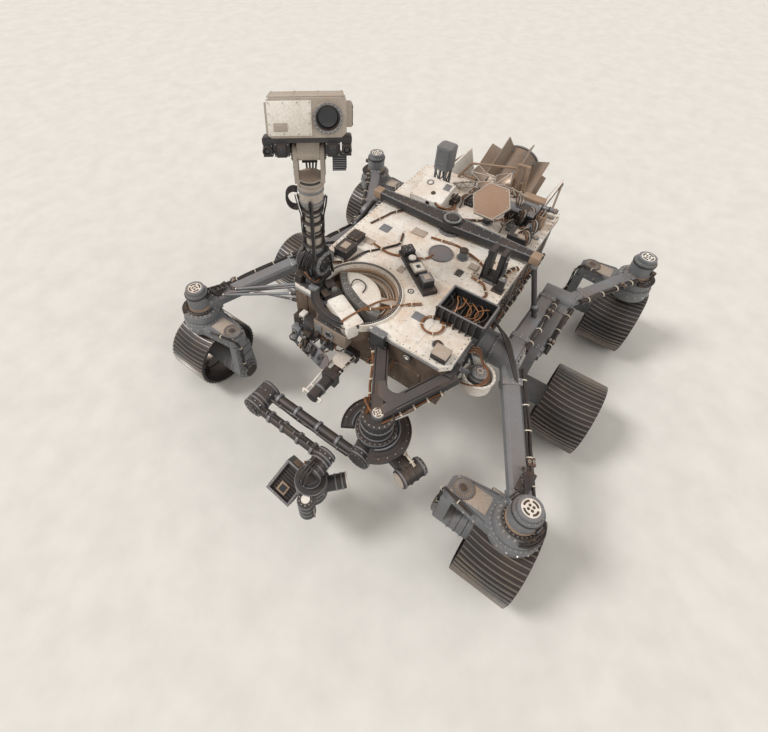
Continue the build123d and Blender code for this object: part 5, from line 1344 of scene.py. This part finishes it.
def rear_gear():
    """Lattice truss, tan frame, white panels with titanium sheets, boxes and pipes at the rear of the deck."""
    rng = Random(23)
    form = Form()
    z = DECK_TOP
    # Tan frame: (start, end, size)
    for a, b, size in (((-838, 172, z), (-838, 162, 1384), 22), ((-838, 246, z), (-838, 232, 1390), 22),
                       ((-838, 205, z), (-838, 198, 1386), 12), ((-838, -262, z), (-838, -176, 1268), 20),
                       ((-838, -178, 1266), (-838, 166, 1350), 14), ((-838, 160, 1376), (-838, 236, 1382), 18),
                       ((-838, 172, 1250), (-838, 246, 1250), 14), ((-838, -250, 1150), (-838, 172, 1150), 12)):
        form.beam(a, b, size, size, BROWN, 2)
        a, b = Vector(a), Vector(b)
        for share in (0.04, 0.96):
            form.circle(a.lerp(b, share) + Vector((size / 2, 0, 0)), AHEAD, 0, 1, 5, 4)
    form.box((-852, 262, z), (-780, 420, 1196), BROWN, 4)
    form.screws(grid(-780, (272, 341, 410), (z + 10, 1186)), AHEAD, 4, 3)
    # Lattice truss bowed over the rear: two chords and a zigzag
    path = [Vector((-726, -240 + 62 * i, z + 6 + 172 * sin(radians(15 + 11.5 * i)) - 44)) for i in range(10)]
    for i in range(9):
        a, b = path[i], path[i + 1]
        lower = Vector((34, 0, -30))
        form.rod(a, b, 4.5, WARM, sides=10)
        form.rod(a + lower, b + lower, 4.5, WARM, sides=10)
        form.rod(a, b + lower, 3.2, WARM, sides=8)
        form.rod(a, a + lower, 3.2, WARM, sides=8)
        form.rod(a, a + Vector((0, 0, 9)), 8, WARM, sides=12, edge=1)
    for end in (path[0], path[-1] + Vector((34, 0, -30))):
        form.rod(end, (end.x, end.y, z), 8, WARM, sides=14)
    # White panels under titanium sheets that lean to a V behind the antenna: centre, half sizes, turns about X and Y
    for centre, half, tip, lean in (((-668, 12, 1206), (62, 60), 24, 38), ((-770, -76, 1250), (40, 58), -30, 30),
                                    ((-786, 96, 1262), (44, 62), 30, 34), ((-800, 10, 1222), (30, 66), 0, 42)):
        form.at = turned(centre, x=tip, y=lean)
        form.box((-half[0], -half[1], -3), (half[0], half[1], 3), WHITE, 2)
        form.box((4 - half[0], 4 - half[1], 3), (half[0] - 4, half[1] - 4, 5), TITANIUM, 1)
        form.beam((half[0] - 8, 8 - half[1], 5), (8 - half[0], half[1] - 8, 5), 5, 3, WHITE, 1)
        form.screws([(a * (half[0] - 8), b * (half[1] - 8), 5) for a in (-1, 1) for b in (-1, 0, 1)], UP, 3, 2)
    form.at = Matrix()
    for y, h in ((-100, 1196), (0, 1172), (106, 1196)):
        form.rod((-790, y, z), (-790, y, h), 6, CLEAR, sides=12)
    # Boxes, valves and drums: low corner, size, material
    for low, size, m in (((-700, 330, z), (96, 90, 62), BLACK), ((-590, 330, z), (60, 52, 84), PLASTIC),
                         ((-690, 220, z), (50, 90, 104), WARM), ((-560, 420, z), (90, 60, 70), CLEAR),
                         ((-620, 260, z), (54, 50, 40), BLACK), ((-640, 440, z), (60, 60, 106), BROWN),
                         ((-600, 60, z), (70, 60, 50), PLASTIC), ((-690, 70, z), (60, 66, 70), WARM),
                         ((-590, -60, z), (60, 66, 56), BLACK), ((-690, -70, z), (64, 70, 50), BROWN),
                         ((-560, -160, z), (90, 60, 40), PLASTIC), ((-470, 400, z), (70, 80, 60), BLACK),
                         ((-380, 420, z), (60, 60, 90), WARM), ((-480, 300, z), (40, 40, 50), CLEAR)):
        low = Vector(low)
        high = low + Vector(size)
        form.box(low, high, m, 4)
        top = Vector(((low.x + high.x) / 2, (low.y + high.y) / 2, high.z))
        form.screws(grid((low.x + 7, high.x - 7), (low.y + 7, high.y - 7), high.z), UP, 3.5, 2.5)
        if rng.random() < 0.6:
            form.plug(top, UP, 18, 14, rng.choice((CLEAR, PLASTIC, TITANIUM)), 5, 18, 6, sides=20, edge=2)
        form.screws([(high.x, low.y + size[1] * t, low.z + size[2] * 0.5) for t in (0.2, 0.5, 0.8)], AHEAD, 3.5, 3)
        # Looped cable or pipe over each
        reach = Vector((rng.uniform(20, 46), rng.uniform(-40, 40), 0))
        for k in range(5):
            shift = Vector((0, 9 * k - 18, 0))
            form.cable([low + shift + Vector((size[0] / 2, 0, size[2] * 0.5)), top + shift + Vector((0, 0, 24 + 5 * k)),
                        top + shift + reach + Vector((0, 0, 6)), (high.x + 16, top.y + reach.y, low.z + 30),
                        (high.x + 26 + 8 * k, top.y + reach.y, low.z + 5)], rng.uniform(2.6, 4.2),
                       (JACKET, COPPER, JACKET, WARM, JACKET)[k])
    # Capped tubes that point out over the left edge
    for px, h, r in ((-760, 1176, 17), (-700, 1160, 12), (-420, 1166, 13)):
        form.rod((px, 400, h), (px, 534, h + 8), r, CLEAR, sides=24, edge=3)
        for y in (420, 470, 510):
            place = (px, y, h + 1 + (y - 400) * 8 / 134)
            form.ring(place, LEFT, r + 4, r - 1, 9, BROWN if y == 510 else BLACK, 24, edge=1)
        form.beam((px, 450, h), (px, 450, z), 16, 16, BLACK, 2)
    form.done("rear_gear", "body")


def power_fittings():
    """End plate, bands, pipes and screws of the power source, pipes and truss of the white panels."""
    form = Form()
    form.at = turned((-1030, 0, 880), y=-66)
    for z in (10, 462):
        form.flange((0, 0, z), UP, 154, 141, 14, CLEAR, 60, 2, 148, 24, 3.4, 4)
    form.lathe((0, 0, 480), UP, [(0, 0), (120, 0), (112, 8), (50, 12), (0, 12)], SAND_AND_SHADE, 56)
    form.circle((0, 0, 482), UP, 132, 16, 5, 5)
    form.ring((0, 0, 491), UP, 40, 26, 8, CLEAR, 36, edge=1.5)
    for i in range(8):
        out = around(45 * (i + 0.5))
        for z in (60, 240, 420):
            form.beam(out * 142 + Vector((0, 0, z - 14)), out * 142 + Vector((0, 0, z + 14)), 24, 24, CLEAR, 3)
        tip = out * 262
        form.rod(tip + Vector((0, 0, 32)), tip + Vector((0, 0, 448)), 5, SAND_AND_SHADE, sides=10)
    form.at = Matrix()
    for side in (1, -1):
        out = Vector((0, side * cos(radians(18)), -sin(radians(18))))
        rise = Vector((0, side * sin(radians(18)), cos(radians(18))))
        root = Vector((0, side * 300, 800)) + out * 20
        rows = [(rise * (24 + 42 * i), (-910, -1334) if i % 2 == 0 else (-1334, -910)) for i in range(7)]
        form.cable([root + Vector((x, 0, 0)) + row for row, ends in rows for x in ends], 5, TITANIUM)
        for x in (-930, -1120, -1310):
            place = root + Vector((x, 0, 0)) - out * 2
            form.beam(place + rise * 12, place + rise * 288, 14, 6, CLEAR, 1)
            for i in range(7):
                form.circle(place + rise * (36 + 42 * i) + out * 3, out, 0, 1, 3.5, 4)
        # Truss from the body's rear corner to the panel's edges
        top, low = root + rise * 280, root + rise * 20
        for a, b in ((Vector((-845, side * 480, 1040)), top + Vector((-1330, 0, 0))),
                     (Vector((-845, side * 480, 1040)), top + Vector((-920, 0, 0))),
                     (Vector((-845, side * 470, 720)), low + Vector((-1330, 0, 0))),
                     (top + Vector((-1330, 0, 0)), low + Vector((-920, 0, 0)))):
            form.rod(a, b, 8, SAND_AND_SHADE, sides=14)
            form.rod(a, a + (b - a).normalized() * 26, 12, CLEAR, sides=14, edge=1.5)
            form.rod(b, b - (b - a).normalized() * 26, 12, CLEAR, sides=14, edge=1.5)
        form.cable([(-846, side * 200, 900), (-880, side * 220, 940), (-900, side * 280, 900),
                    root + Vector((-910, 0, 0)) + rise * 24], 6, COPPER)
    for y in (-80, 80):
        form.beam((-1130, y, 944), (-850, y, 944), 20, 12, CLEAR, 2)
        form.screws(grid((-1100, -1000, -900), y, 950), UP, 5, 4)
    bundle(form, [(-848, 40, 1010), (-900, 50, 1000), (-960, 60, 975), (-1010, 70, 960)],
           [(6, JACKET), (6, JACKET), (5, COPPER)], 10, seed=2)
    form.done("power_source_fittings", "body")


def wall_fittings():
    """Panels, stiffeners, plugs, marks and cable runs on the body's walls."""
    rng = Random(17)
    form = Form()
    for side in (1, -1):
        out = (0, side, 0)
        y = side * 530
        for low, high in ((-820, -560), (-540, -280), (-260, 20), (40, 220), (480, 780)):
            a, b = sorted((y, y + side * 4))
            form.box((low, a, 752), (high, b, 1062), WALL, 1.5)
            spots = grid((low + 12, (low + high) / 2, high - 12), y + side * 4, (764, 1050))
            spots += grid((low + 12, high - 12), y + side * 4, (860, 955))
            form.screws(spots, out, 4.5, 4)
        for x in (-690, -410, -120, 130):
            form.beam((x, y + side * 8, 756), (x, y + side * 8, 1056), 12, 16, CLEAR, 2)
        for i in range(14):
            x, z = rng.uniform(-780, 180), rng.choice((800, 870, 930, 990))
            spot = Vector((x, y + side * 4, z))
            form.plug(spot, out, 18, 10, BLACK, 4, 13, 5)
            form.cable([spot + Vector((0, side * 16, 0)), spot + Vector((20, side * 36, -16)),
                        spot + Vector((70, side * 30, -40)), Vector((x + 120, y + side * 22, 772))], 4,
                       rng.choice((JACKET, SLEEVE, COPPER)))
        bundle(form, [(-800, y + side * 20, 776), (-400, y + side * 24, 770), (0, y + side * 22, 776),
                      (230, y + side * 22, 772)], [(7, JACKET), (6, JACKET), (6, SLEEVE), (5, COPPER), (6, JACKET)], 12,
               seed=3 + side, ties=16)
    # Front wall: dusty plates, sight mark and plugs
    for low, high in (((-500, 752), (-430, 1060)), ((-20, 752), (110, 930)), ((230, 752), (400, 930)),
                      ((500, 752), (524, 1060))):
        form.box((800, low[0], low[1]), (804, high[0], high[1]), WALL, 1.5)
        form.screws(grid(804, (low[0] + 12, high[0] - 12), (low[1] + 12, high[1] - 12)), AHEAD, 4.5, 4)
    form.disc((826.5, 308, 1046), AHEAD, 20, 2, WHITE, 28)
    form.ring((828, 308, 1046), AHEAD, 18, 12, 1.5, PLASTIC, 28)
    form.box((800, 286, 1020), (827, 330, 1072), BLACK, 2)
    for i in range(5):
        spot = Vector((804, 60 + 34 * i, 800))
        form.plug(spot, AHEAD, 22, 11, BLACK, 5, 14, 6)
        form.cable([spot + Vector((20, 0, 0)), spot + Vector((44, 6, 10)), spot + Vector((40, 20, 60)),
                    (815, 150 + 20 * i, 940)], 4.5, JACKET if i % 2 else COPPER)
    # Low forward cameras under the deck's front edge
    for y in (-20, 90):
        form.box((800, y - 34, 984), (836, y + 34, 1040), BLACK, 3)
        for dy in (-15, 15):
            form.ring((836, y + dy, 1012), AHEAD, 13, 8, 8, PLASTIC, 20, edge=1)
            form.lathe((836, y + dy, 1012), AHEAD, [(0, 0), (8, 0), (6, 2), (0, 3)], PLASTIC, 20)
        form.screws([(836, y + dy, z) for dy in (-29, 29) for z in (990, 1034)], AHEAD, 3, 3)
    # Rear wall
    for low, high in (((-500, 752), (-170, 1060)), ((170, 752), (500, 1060))):
        form.box((-844, low[0], low[1]), (-840, high[0], high[1]), WALL, 1.5)
        form.screws(grid(-844, (low[0] + 12, (low[0] + high[0]) / 2, high[0] - 12), (764, 905, 1048)), BACK, 4.5, 4)
    # Belly: stiffeners and screws
    for x in (-560, -280, 0, 280, 560):
        form.beam((x, -400, 630), (x, 400, 630), 10, 26, CLEAR, 2)
        form.screws(grid(x, (-420, 420), 632), DOWN, 5, 5)
    form.done("wall_fittings", "body")


def side_canister():
    """Pale cup with a rolled ring, the grey drum in it, its pocketed casting and its orange cables."""
    form = Form()
    x, y = 600, 662
    cup = [(0, 0), (70, 0), (84, 12), (84, 88), (92, 96), (96, 108), (92, 118), (84, 118), (78, 108), (76, 40), (0, 40)]
    form.lathe((x, y, 821), UP, cup, WHITE, 64)
    for z in (838, 866, 890):
        form.ring((x, y, z), UP, 88, 83, 7, WHITE, 56, edge=1.5)
    form.circle((x, y, 939), UP, 89, 20, 3.2, 3)
    drum = [(52, 0), (52, 66), (58, 68), (58, 76), (48, 78), (48, 100), (40, 106), (0, 106)]
    form.lathe((x, y, 859), UP, drum, CLEAR, 48)
    form.circle((x, y, 935), UP, 53, 12, 3, 3)
    form.circle((x, y, 965), UP, 30, 8, 4, 4)
    form.ring((x, y, 965), UP, 20, 12, 6, WARM, 28, edge=1)
    # Casting on the wall: frame, ribs and pockets
    for z in (825, 876, 928, 980, 1033):
        form.beam((505, 543, z), (695, 543, z), 26, 8, CLEAR, 2)
    for i in range(5):
        form.beam((509 + 45.5 * i, 543, 823), (509 + 45.5 * i, 543, 1036), 8, 26, CLEAR, 2)
    form.box((508, 531, 824), (692, 536, 1034), WARM, 1)
    for i in range(4):
        form.beam((512 + 46 * i, 546, 930), (552 + 46 * i, 546, 978), 6, 16, CLEAR, 1)
    form.screws(grid((509, 600, 691), 556, (876, 928, 980, 1033)), LEFT, 4.5, 3)
    # Arms from the casting to the cup
    for px in (528, 672):
        way = Vector((x - px, y - 556, 0)) * 0.4
        form.beam((px, 556, 990), Vector((px, 556, 940)) + way * 1.3, 12, 40, CLEAR, 3)
        form.beam((px, 556, 850), Vector((px, 556, 870)) + way, 12, 34, CLEAR, 3)
        form.beam((px, 560, 985), (px, 560, 850), 12, 14, CLEAR, 3)
    for i in range(5):
        form.cable([(524 + 12 * i, 560, 1030), (498 + 8 * i, 604, 1010), (530 + 8 * i, 640 + 5 * i, 975),
                    (580, 700 + 3 * i, 966 - 4 * i), (640, 704 + 4 * i, 950), (690, 676, 944), (694, 580, 900)], 4,
                   JACKET if i % 2 else COPPER)
    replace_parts(form.done("side_canister_dressed", "body"), "side_canister")


def differential_fittings():
    """Caps, edge ribs, end clevises and screws of the tapered bar."""
    form = Form()
    x = -220
    form.flange((x, 0, 1218), UP, 62, 44, 6, CLEAR, 48, 2, 53, 14, 4.5, 5)
    form.lathe((x, 0, 1218), UP, [(0, 0), (40, 0), (38, 10), (18, 16), (0, 16)], BLACK, 40)
    form.flange((x, 0, DECK_TOP), UP, 84, 61, 12, CLEAR, 48, 2, 73, 14, 5, 5)
    for side in (1, -1):
        for edge in (-1, 1):
            form.beam((x + edge * 56, side * 40, 1201), (x + edge * 26, side * 600, 1201), 9, 6, CLEAR, 1)
        for i in range(8):
            y = side * (90 + 62 * i)
            form.screws([(x + e * (52 - 3.3 * i), y, 1200) for e in (-0.72, 0.72)], UP, 3.6, 4)
        form.box((x - 36, side * 590 - 30, 1150), (x + 36, side * 590 + 30, 1206), BROWN, 4)
        form.circle((x, side * 590, 1206), UP, 20, 6, 4, 4)
        a, b = Vector((x, side * 582, 1177)), Vector((-90, side * 740, 846))
        along = (b - a).normalized()
        for share in (0.1, 0.86):
            form.rod(a + along * 360 * share, a + along * (360 * share + 34), 22, CLEAR, sides=20, edge=2)
        form.rod(b - along * 60, b - along * 36, 26, BLACK, sides=24, edge=3)
    form.done("differential_fittings", "body")


def post_fittings():
    """Square pale cap, bands, white side fingers and cables of the front post."""
    form = Form()
    for x in (846, 1130):
        form.flange((x, -70, 755), AHEAD, 41, 35, 14, CLEAR, 40, 2, 38, 8, 2, 3)
    form.box((864, -128, 797), (968, -14, 802), WHITE, 2)
    form.box((872, -100, 786), (960, -40, 797), BLACK, 2)
    form.screws(grid((874, 958), (-118, -24), 802), UP, 4, 3)
    # White rod along the side, held off by brackets, and the fork at the tip
    form.rod((850, -132, 772), (1196, -128, 764), 6, WHITE, sides=14)
    for x in (872, 1010, 1150):
        form.beam((x, -128, 768), (x, -100, 764), 10, 8, WHITE, 2)
    form.rod((1196, -150, 764), (1196, -6, 764), 7, WHITE, sides=14, edge=2)
    for y in (-146, -10):
        form.beam((1196, y, 764), (1211, y + (8 if y < -70 else -8), 748), 12, 12, WHITE, 3)
    form.box((836, -112, 713), (840, -28, 797), CLEAR, 2)
    form.screws(grid(840, (-106, -34), (719, 791)), AHEAD, 5, 4)
    bundle(form, [(836, -20, 800), (900, -24, 802), (960, -30, 796), (1008, -30, 780)],
           [(4, JACKET), (4, JACKET), (3, JACKET)], 5, seed=3, ties=4)
    form.done("front_post_fittings", "body")


# Materials of the CAD's own pieces, by the start of their names
NODE_MATTER = {
    word: name
    for name, words in (
        (CLEAR, "rocker bogie knuckle steering_motor post_antenna side_canister"),
        (BLACK, "mast_base arm_ antenna_yoke antenna_post deck_fork deck_boxes deck_rail fin_box power_cradle"),
        (BLACK, "head_cameras differential_bar front_post"),
        (WARM, "mast_tube mast_neck mast_head antenna_plate"),
        (DECK, "deck"),
        (WHITE, "port_carousel heat_panel rear_box"),
        (WALL, "body_box belly_pan"),
        (SAND_AND_SHADE, "power_source"),
        (BLUE, "deck_plate"),
        (SKIN, "wheel"),
    )
    for word in words.split()
}


def dress_nodes():
    """Gives each CAD node the material whose longest word starts its name."""
    for node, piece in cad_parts.items():
        words = [word for word in NODE_MATTER if node.startswith(word)]
        if not words:
            raise RuntimeError(f"no material is named for {node}")
        piece.data.materials.clear()
        piece.data.materials.append(matter(NODE_MATTER[max(words, key=len)]))


# Stage, camera and light


def stage(s):
    """Pale floor, soft studio light and the camera at the photo's viewing angle."""
    scene = bpy.context.scene
    camera = bpy.data.cameras.new("camera")
    camera.sensor_fit = "HORIZONTAL"
    camera.sensor_width = 36
    camera.lens = 18 / tan(s.view_width / 2)
    camera.shift_x, camera.shift_y = 40 / 768, -60 / 768
    camera.clip_end = 100
    holder = placed("camera", camera)
    holder.location = s.camera_place
    yaw, pitch = s.camera_yaw, s.camera_pitch
    ahead = Vector((cos(yaw) * cos(pitch), sin(yaw) * cos(pitch), -sin(pitch)))
    holder.rotation_euler = ahead.to_track_quat("-Z", "Y").to_euler()
    scene.camera = holder

    world = bpy.data.worlds.new("studio")
    scene.world = world
    world.use_nodes = True
    back = world.node_tree.nodes["Background"]
    back.inputs["Color"].default_value = (*linear("#F4F1EC"), 1)
    back.inputs["Strength"].default_value = s.fill
    for name, turn, energy, angle in (("key", (radians(38), radians(12), radians(20)), s.key, radians(16)),
                                      ("rim", (radians(50), radians(-20), radians(200)), s.key * 0.35, radians(40))):
        lamp = bpy.data.lights.new(name, "SUN")
        lamp.energy = energy
        lamp.angle = angle
        placed(name, lamp).rotation_euler = turn

    bm = bmesh.new()
    bmesh.ops.create_grid(bm, x_segments=1, y_segments=1, size=20)
    mesh = bpy.data.meshes.new("floor")
    bm.to_mesh(mesh)
    bm.free()
    mesh.materials.append(matter(FLOOR))
    floor = placed("floor", mesh)
    scene.view_settings.view_transform = "Standard"


# Sizes and colours that a user would change


def colour(name, text, code):
    return FloatVectorProperty(name=name, description=text, subtype="COLOR", size=3, min=0, max=1, default=linear(code))


class RoverColours(bpy.types.PropertyGroup):
    deck: colour("Deck white", "Thermal paint of the deck", "#F1ECE4")
    tube: colour("Tube grey", "Clear anodised tubes and housings", "#84878B")
    dark: colour("Dark grey", "Black anodised brackets and arm", "#3E4043")
    wheel: colour("Wheel skin", "Skin of the wheels", "#323234")
    dust: colour("Dust", "Fine soil that lies on what faces up", "#C7946B")
    copper: colour("Copper film", "Flat cables across the deck", "#9A6843")
    floor: colour("Floor", "Studio floor", "#DEDAD3")


class RoverWheels(bpy.types.PropertyGroup):
    lug_count: IntProperty(name="Lugs", description="Lugs round each wheel", default=48, min=12, max=72)
    lug_bow: FloatProperty(name="Lug bow", description="How far a lug's middle stands ahead of its ends", default=0.016,
                           min=0, max=0.04, unit="LENGTH", subtype="DISTANCE")


class RoverStage(bpy.types.PropertyGroup):
    camera_place: FloatVectorProperty(name="Camera place", description="Where the camera stands", size=3,
                                      default=(2.12, 0.915, 3.13), subtype="TRANSLATION", unit="LENGTH")
    camera_yaw: FloatProperty(name="Camera yaw", description="Turn of the view about the vertical",
                              default=radians(217.15), subtype="ANGLE", unit="ROTATION")
    camera_pitch: FloatProperty(name="Camera pitch", description="How far the view looks down", default=radians(48.5),
                                subtype="ANGLE", unit="ROTATION")
    view_width: FloatProperty(name="View width", description="Angle across the picture", default=radians(80),
                              subtype="ANGLE", unit="ROTATION")
    fill: FloatProperty(name="Fill light", description="Strength of the light from all round", default=0.7, min=0)
    key: FloatProperty(name="Key light", description="Strength of the main light", default=1.7, min=0)


# Operators


class ROVER_OT_materials(bpy.types.Operator):
    """Give every CAD piece its material"""

    bl_idname = "rover.materials"
    bl_label = "Materials"

    def execute(self, context):
        dress_nodes()
        return {"FINISHED"}


class ROVER_OT_wheels(bpy.types.Operator):
    """Model the six wheels with bowed lugs and spring spokes"""

    bl_idname = "rover.wheels"
    bl_label = "Wheels"

    def execute(self, context):
        for side, sign in SIDES:
            for row, x in (*CORNERS, ("middle", 0.0)):
                name = f"wheel_{side}_{row}"
                wheel(name, x, sign * HALF_TRACK, context.scene.rover_wheels)
        return {"FINISHED"}


class ROVER_OT_steering(bpy.types.Operator):
    """Fit the four steering motors and the steered legs"""

    bl_idname = "rover.steering"
    bl_label = "Steering corners"

    def execute(self, context):
        for side, sign in SIDES:
            for row, x in CORNERS:
                motor_fittings(side, sign, row, x)
                knuckle_fittings(side, sign, row, x)
        return {"FINISHED"}


class ROVER_OT_suspension(bpy.types.Operator):
    """Fit both rockers, bogies and the differential"""

    bl_idname = "rover.suspension"
    bl_label = "Suspension"

    def execute(self, context):
        for side, sign in SIDES:
            suspension_fittings(side, sign)
        differential_fittings()
        return {"FINISHED"}


class ROVER_OT_deck(bpy.types.Operator):
    """Fit the deck's plates, marks, boxes and cables"""

    bl_idname = "rover.deck"
    bl_label = "Deck"

    def execute(self, context):
        deck_fittings()
        deck_cables()
        fin_box_fittings()
        rail_fittings()
        box_fittings()
        rear_box_fittings()
        rear_gear()
        return {"FINISHED"}


class ROVER_OT_port(bpy.types.Operator):
    """Model what the round port holds and fit its rim"""

    bl_idname = "rover.port"
    bl_label = "Port"

    def execute(self, context):
        port_carousel()
        port_fittings()
        return {"FINISHED"}


class ROVER_OT_mast(bpy.types.Operator):
    """Fit the mast, its neck and the camera head"""

    bl_idname = "rover.mast"
    bl_label = "Mast and head"

    def execute(self, context):
        mast_fittings()
        neck_fittings()
        head_fittings()
        return {"FINISHED"}


class ROVER_OT_arm(bpy.types.Operator):
    """Fit the arm from its bracket to the tools on the turret"""

    bl_idname = "rover.arm"
    bl_label = "Arm"

    def execute(self, context):
        bracket_fittings()
        shoulder_fittings()
        link_fittings("arm_upper", 1260.3, 340, -360, 120, 66, False)
        link_fittings("arm_fore", 1380.6, -360, 180, 60, 56, True)
        wrist_fittings()
        turret_fittings()
        return {"FINISHED"}


class ROVER_OT_antennas(bpy.types.Operator):
    """Fit the hexagonal antenna and the post antenna"""

    bl_idname = "rover.antennas"
    bl_label = "Antennas"

    def execute(self, context):
        antenna_fittings()
        return {"FINISHED"}


class ROVER_OT_body(bpy.types.Operator):
    """Fit the body's walls, the canister, the front post and the power source"""

    bl_idname = "rover.body"
    bl_label = "Body and power source"

    def execute(self, context):
        wall_fittings()
        front_gear()
        side_canister()
        post_fittings()
        power_fittings()
        return {"FINISHED"}


class ROVER_OT_stage(bpy.types.Operator):
    """Set up the floor, the light and the camera"""

    bl_idname = "rover.stage"
    bl_label = "Stage"

    def execute(self, context):
        stage(context.scene.rover_stage)
        return {"FINISHED"}


OPERATORS = (
    ROVER_OT_materials, ROVER_OT_wheels, ROVER_OT_steering, ROVER_OT_suspension, ROVER_OT_deck, ROVER_OT_port,
    ROVER_OT_mast, ROVER_OT_arm, ROVER_OT_antennas, ROVER_OT_body, ROVER_OT_stage,
)


class ROVER_PT_panel(bpy.types.Panel):
    """Lists the rover's settings and operators"""

    bl_idname = "ROVER_PT_panel"
    bl_label = "Rover"
    bl_space_type = "VIEW_3D"
    bl_region_type = "UI"
    bl_category = "Rover"

    def draw(self, context):
        for group in (context.scene.rover_colours, context.scene.rover_wheels, context.scene.rover_stage):
            box = self.layout.box()
            for key in group.__annotations__:
                box.prop(group, key)
        for operator in OPERATORS:
            self.layout.operator(operator.bl_idname)


CLASSES = (RoverColours, RoverWheels, RoverStage, *OPERATORS, ROVER_PT_panel)


def register():
    for cls in CLASSES:
        bpy.utils.register_class(cls)
    bpy.types.Scene.rover_colours = PointerProperty(type=RoverColours)
    bpy.types.Scene.rover_wheels = PointerProperty(type=RoverWheels)
    bpy.types.Scene.rover_stage = PointerProperty(type=RoverStage)


def unregister():
    del bpy.types.Scene.rover_stage
    del bpy.types.Scene.rover_wheels
    del bpy.types.Scene.rover_colours
    for cls in reversed(CLASSES):
        bpy.utils.unregister_class(cls)


def main():
    register()
    for operator in OPERATORS:
        getattr(bpy.ops.rover, operator.bl_idname.split(".")[1])()


if __name__ == "__main__":
    main()
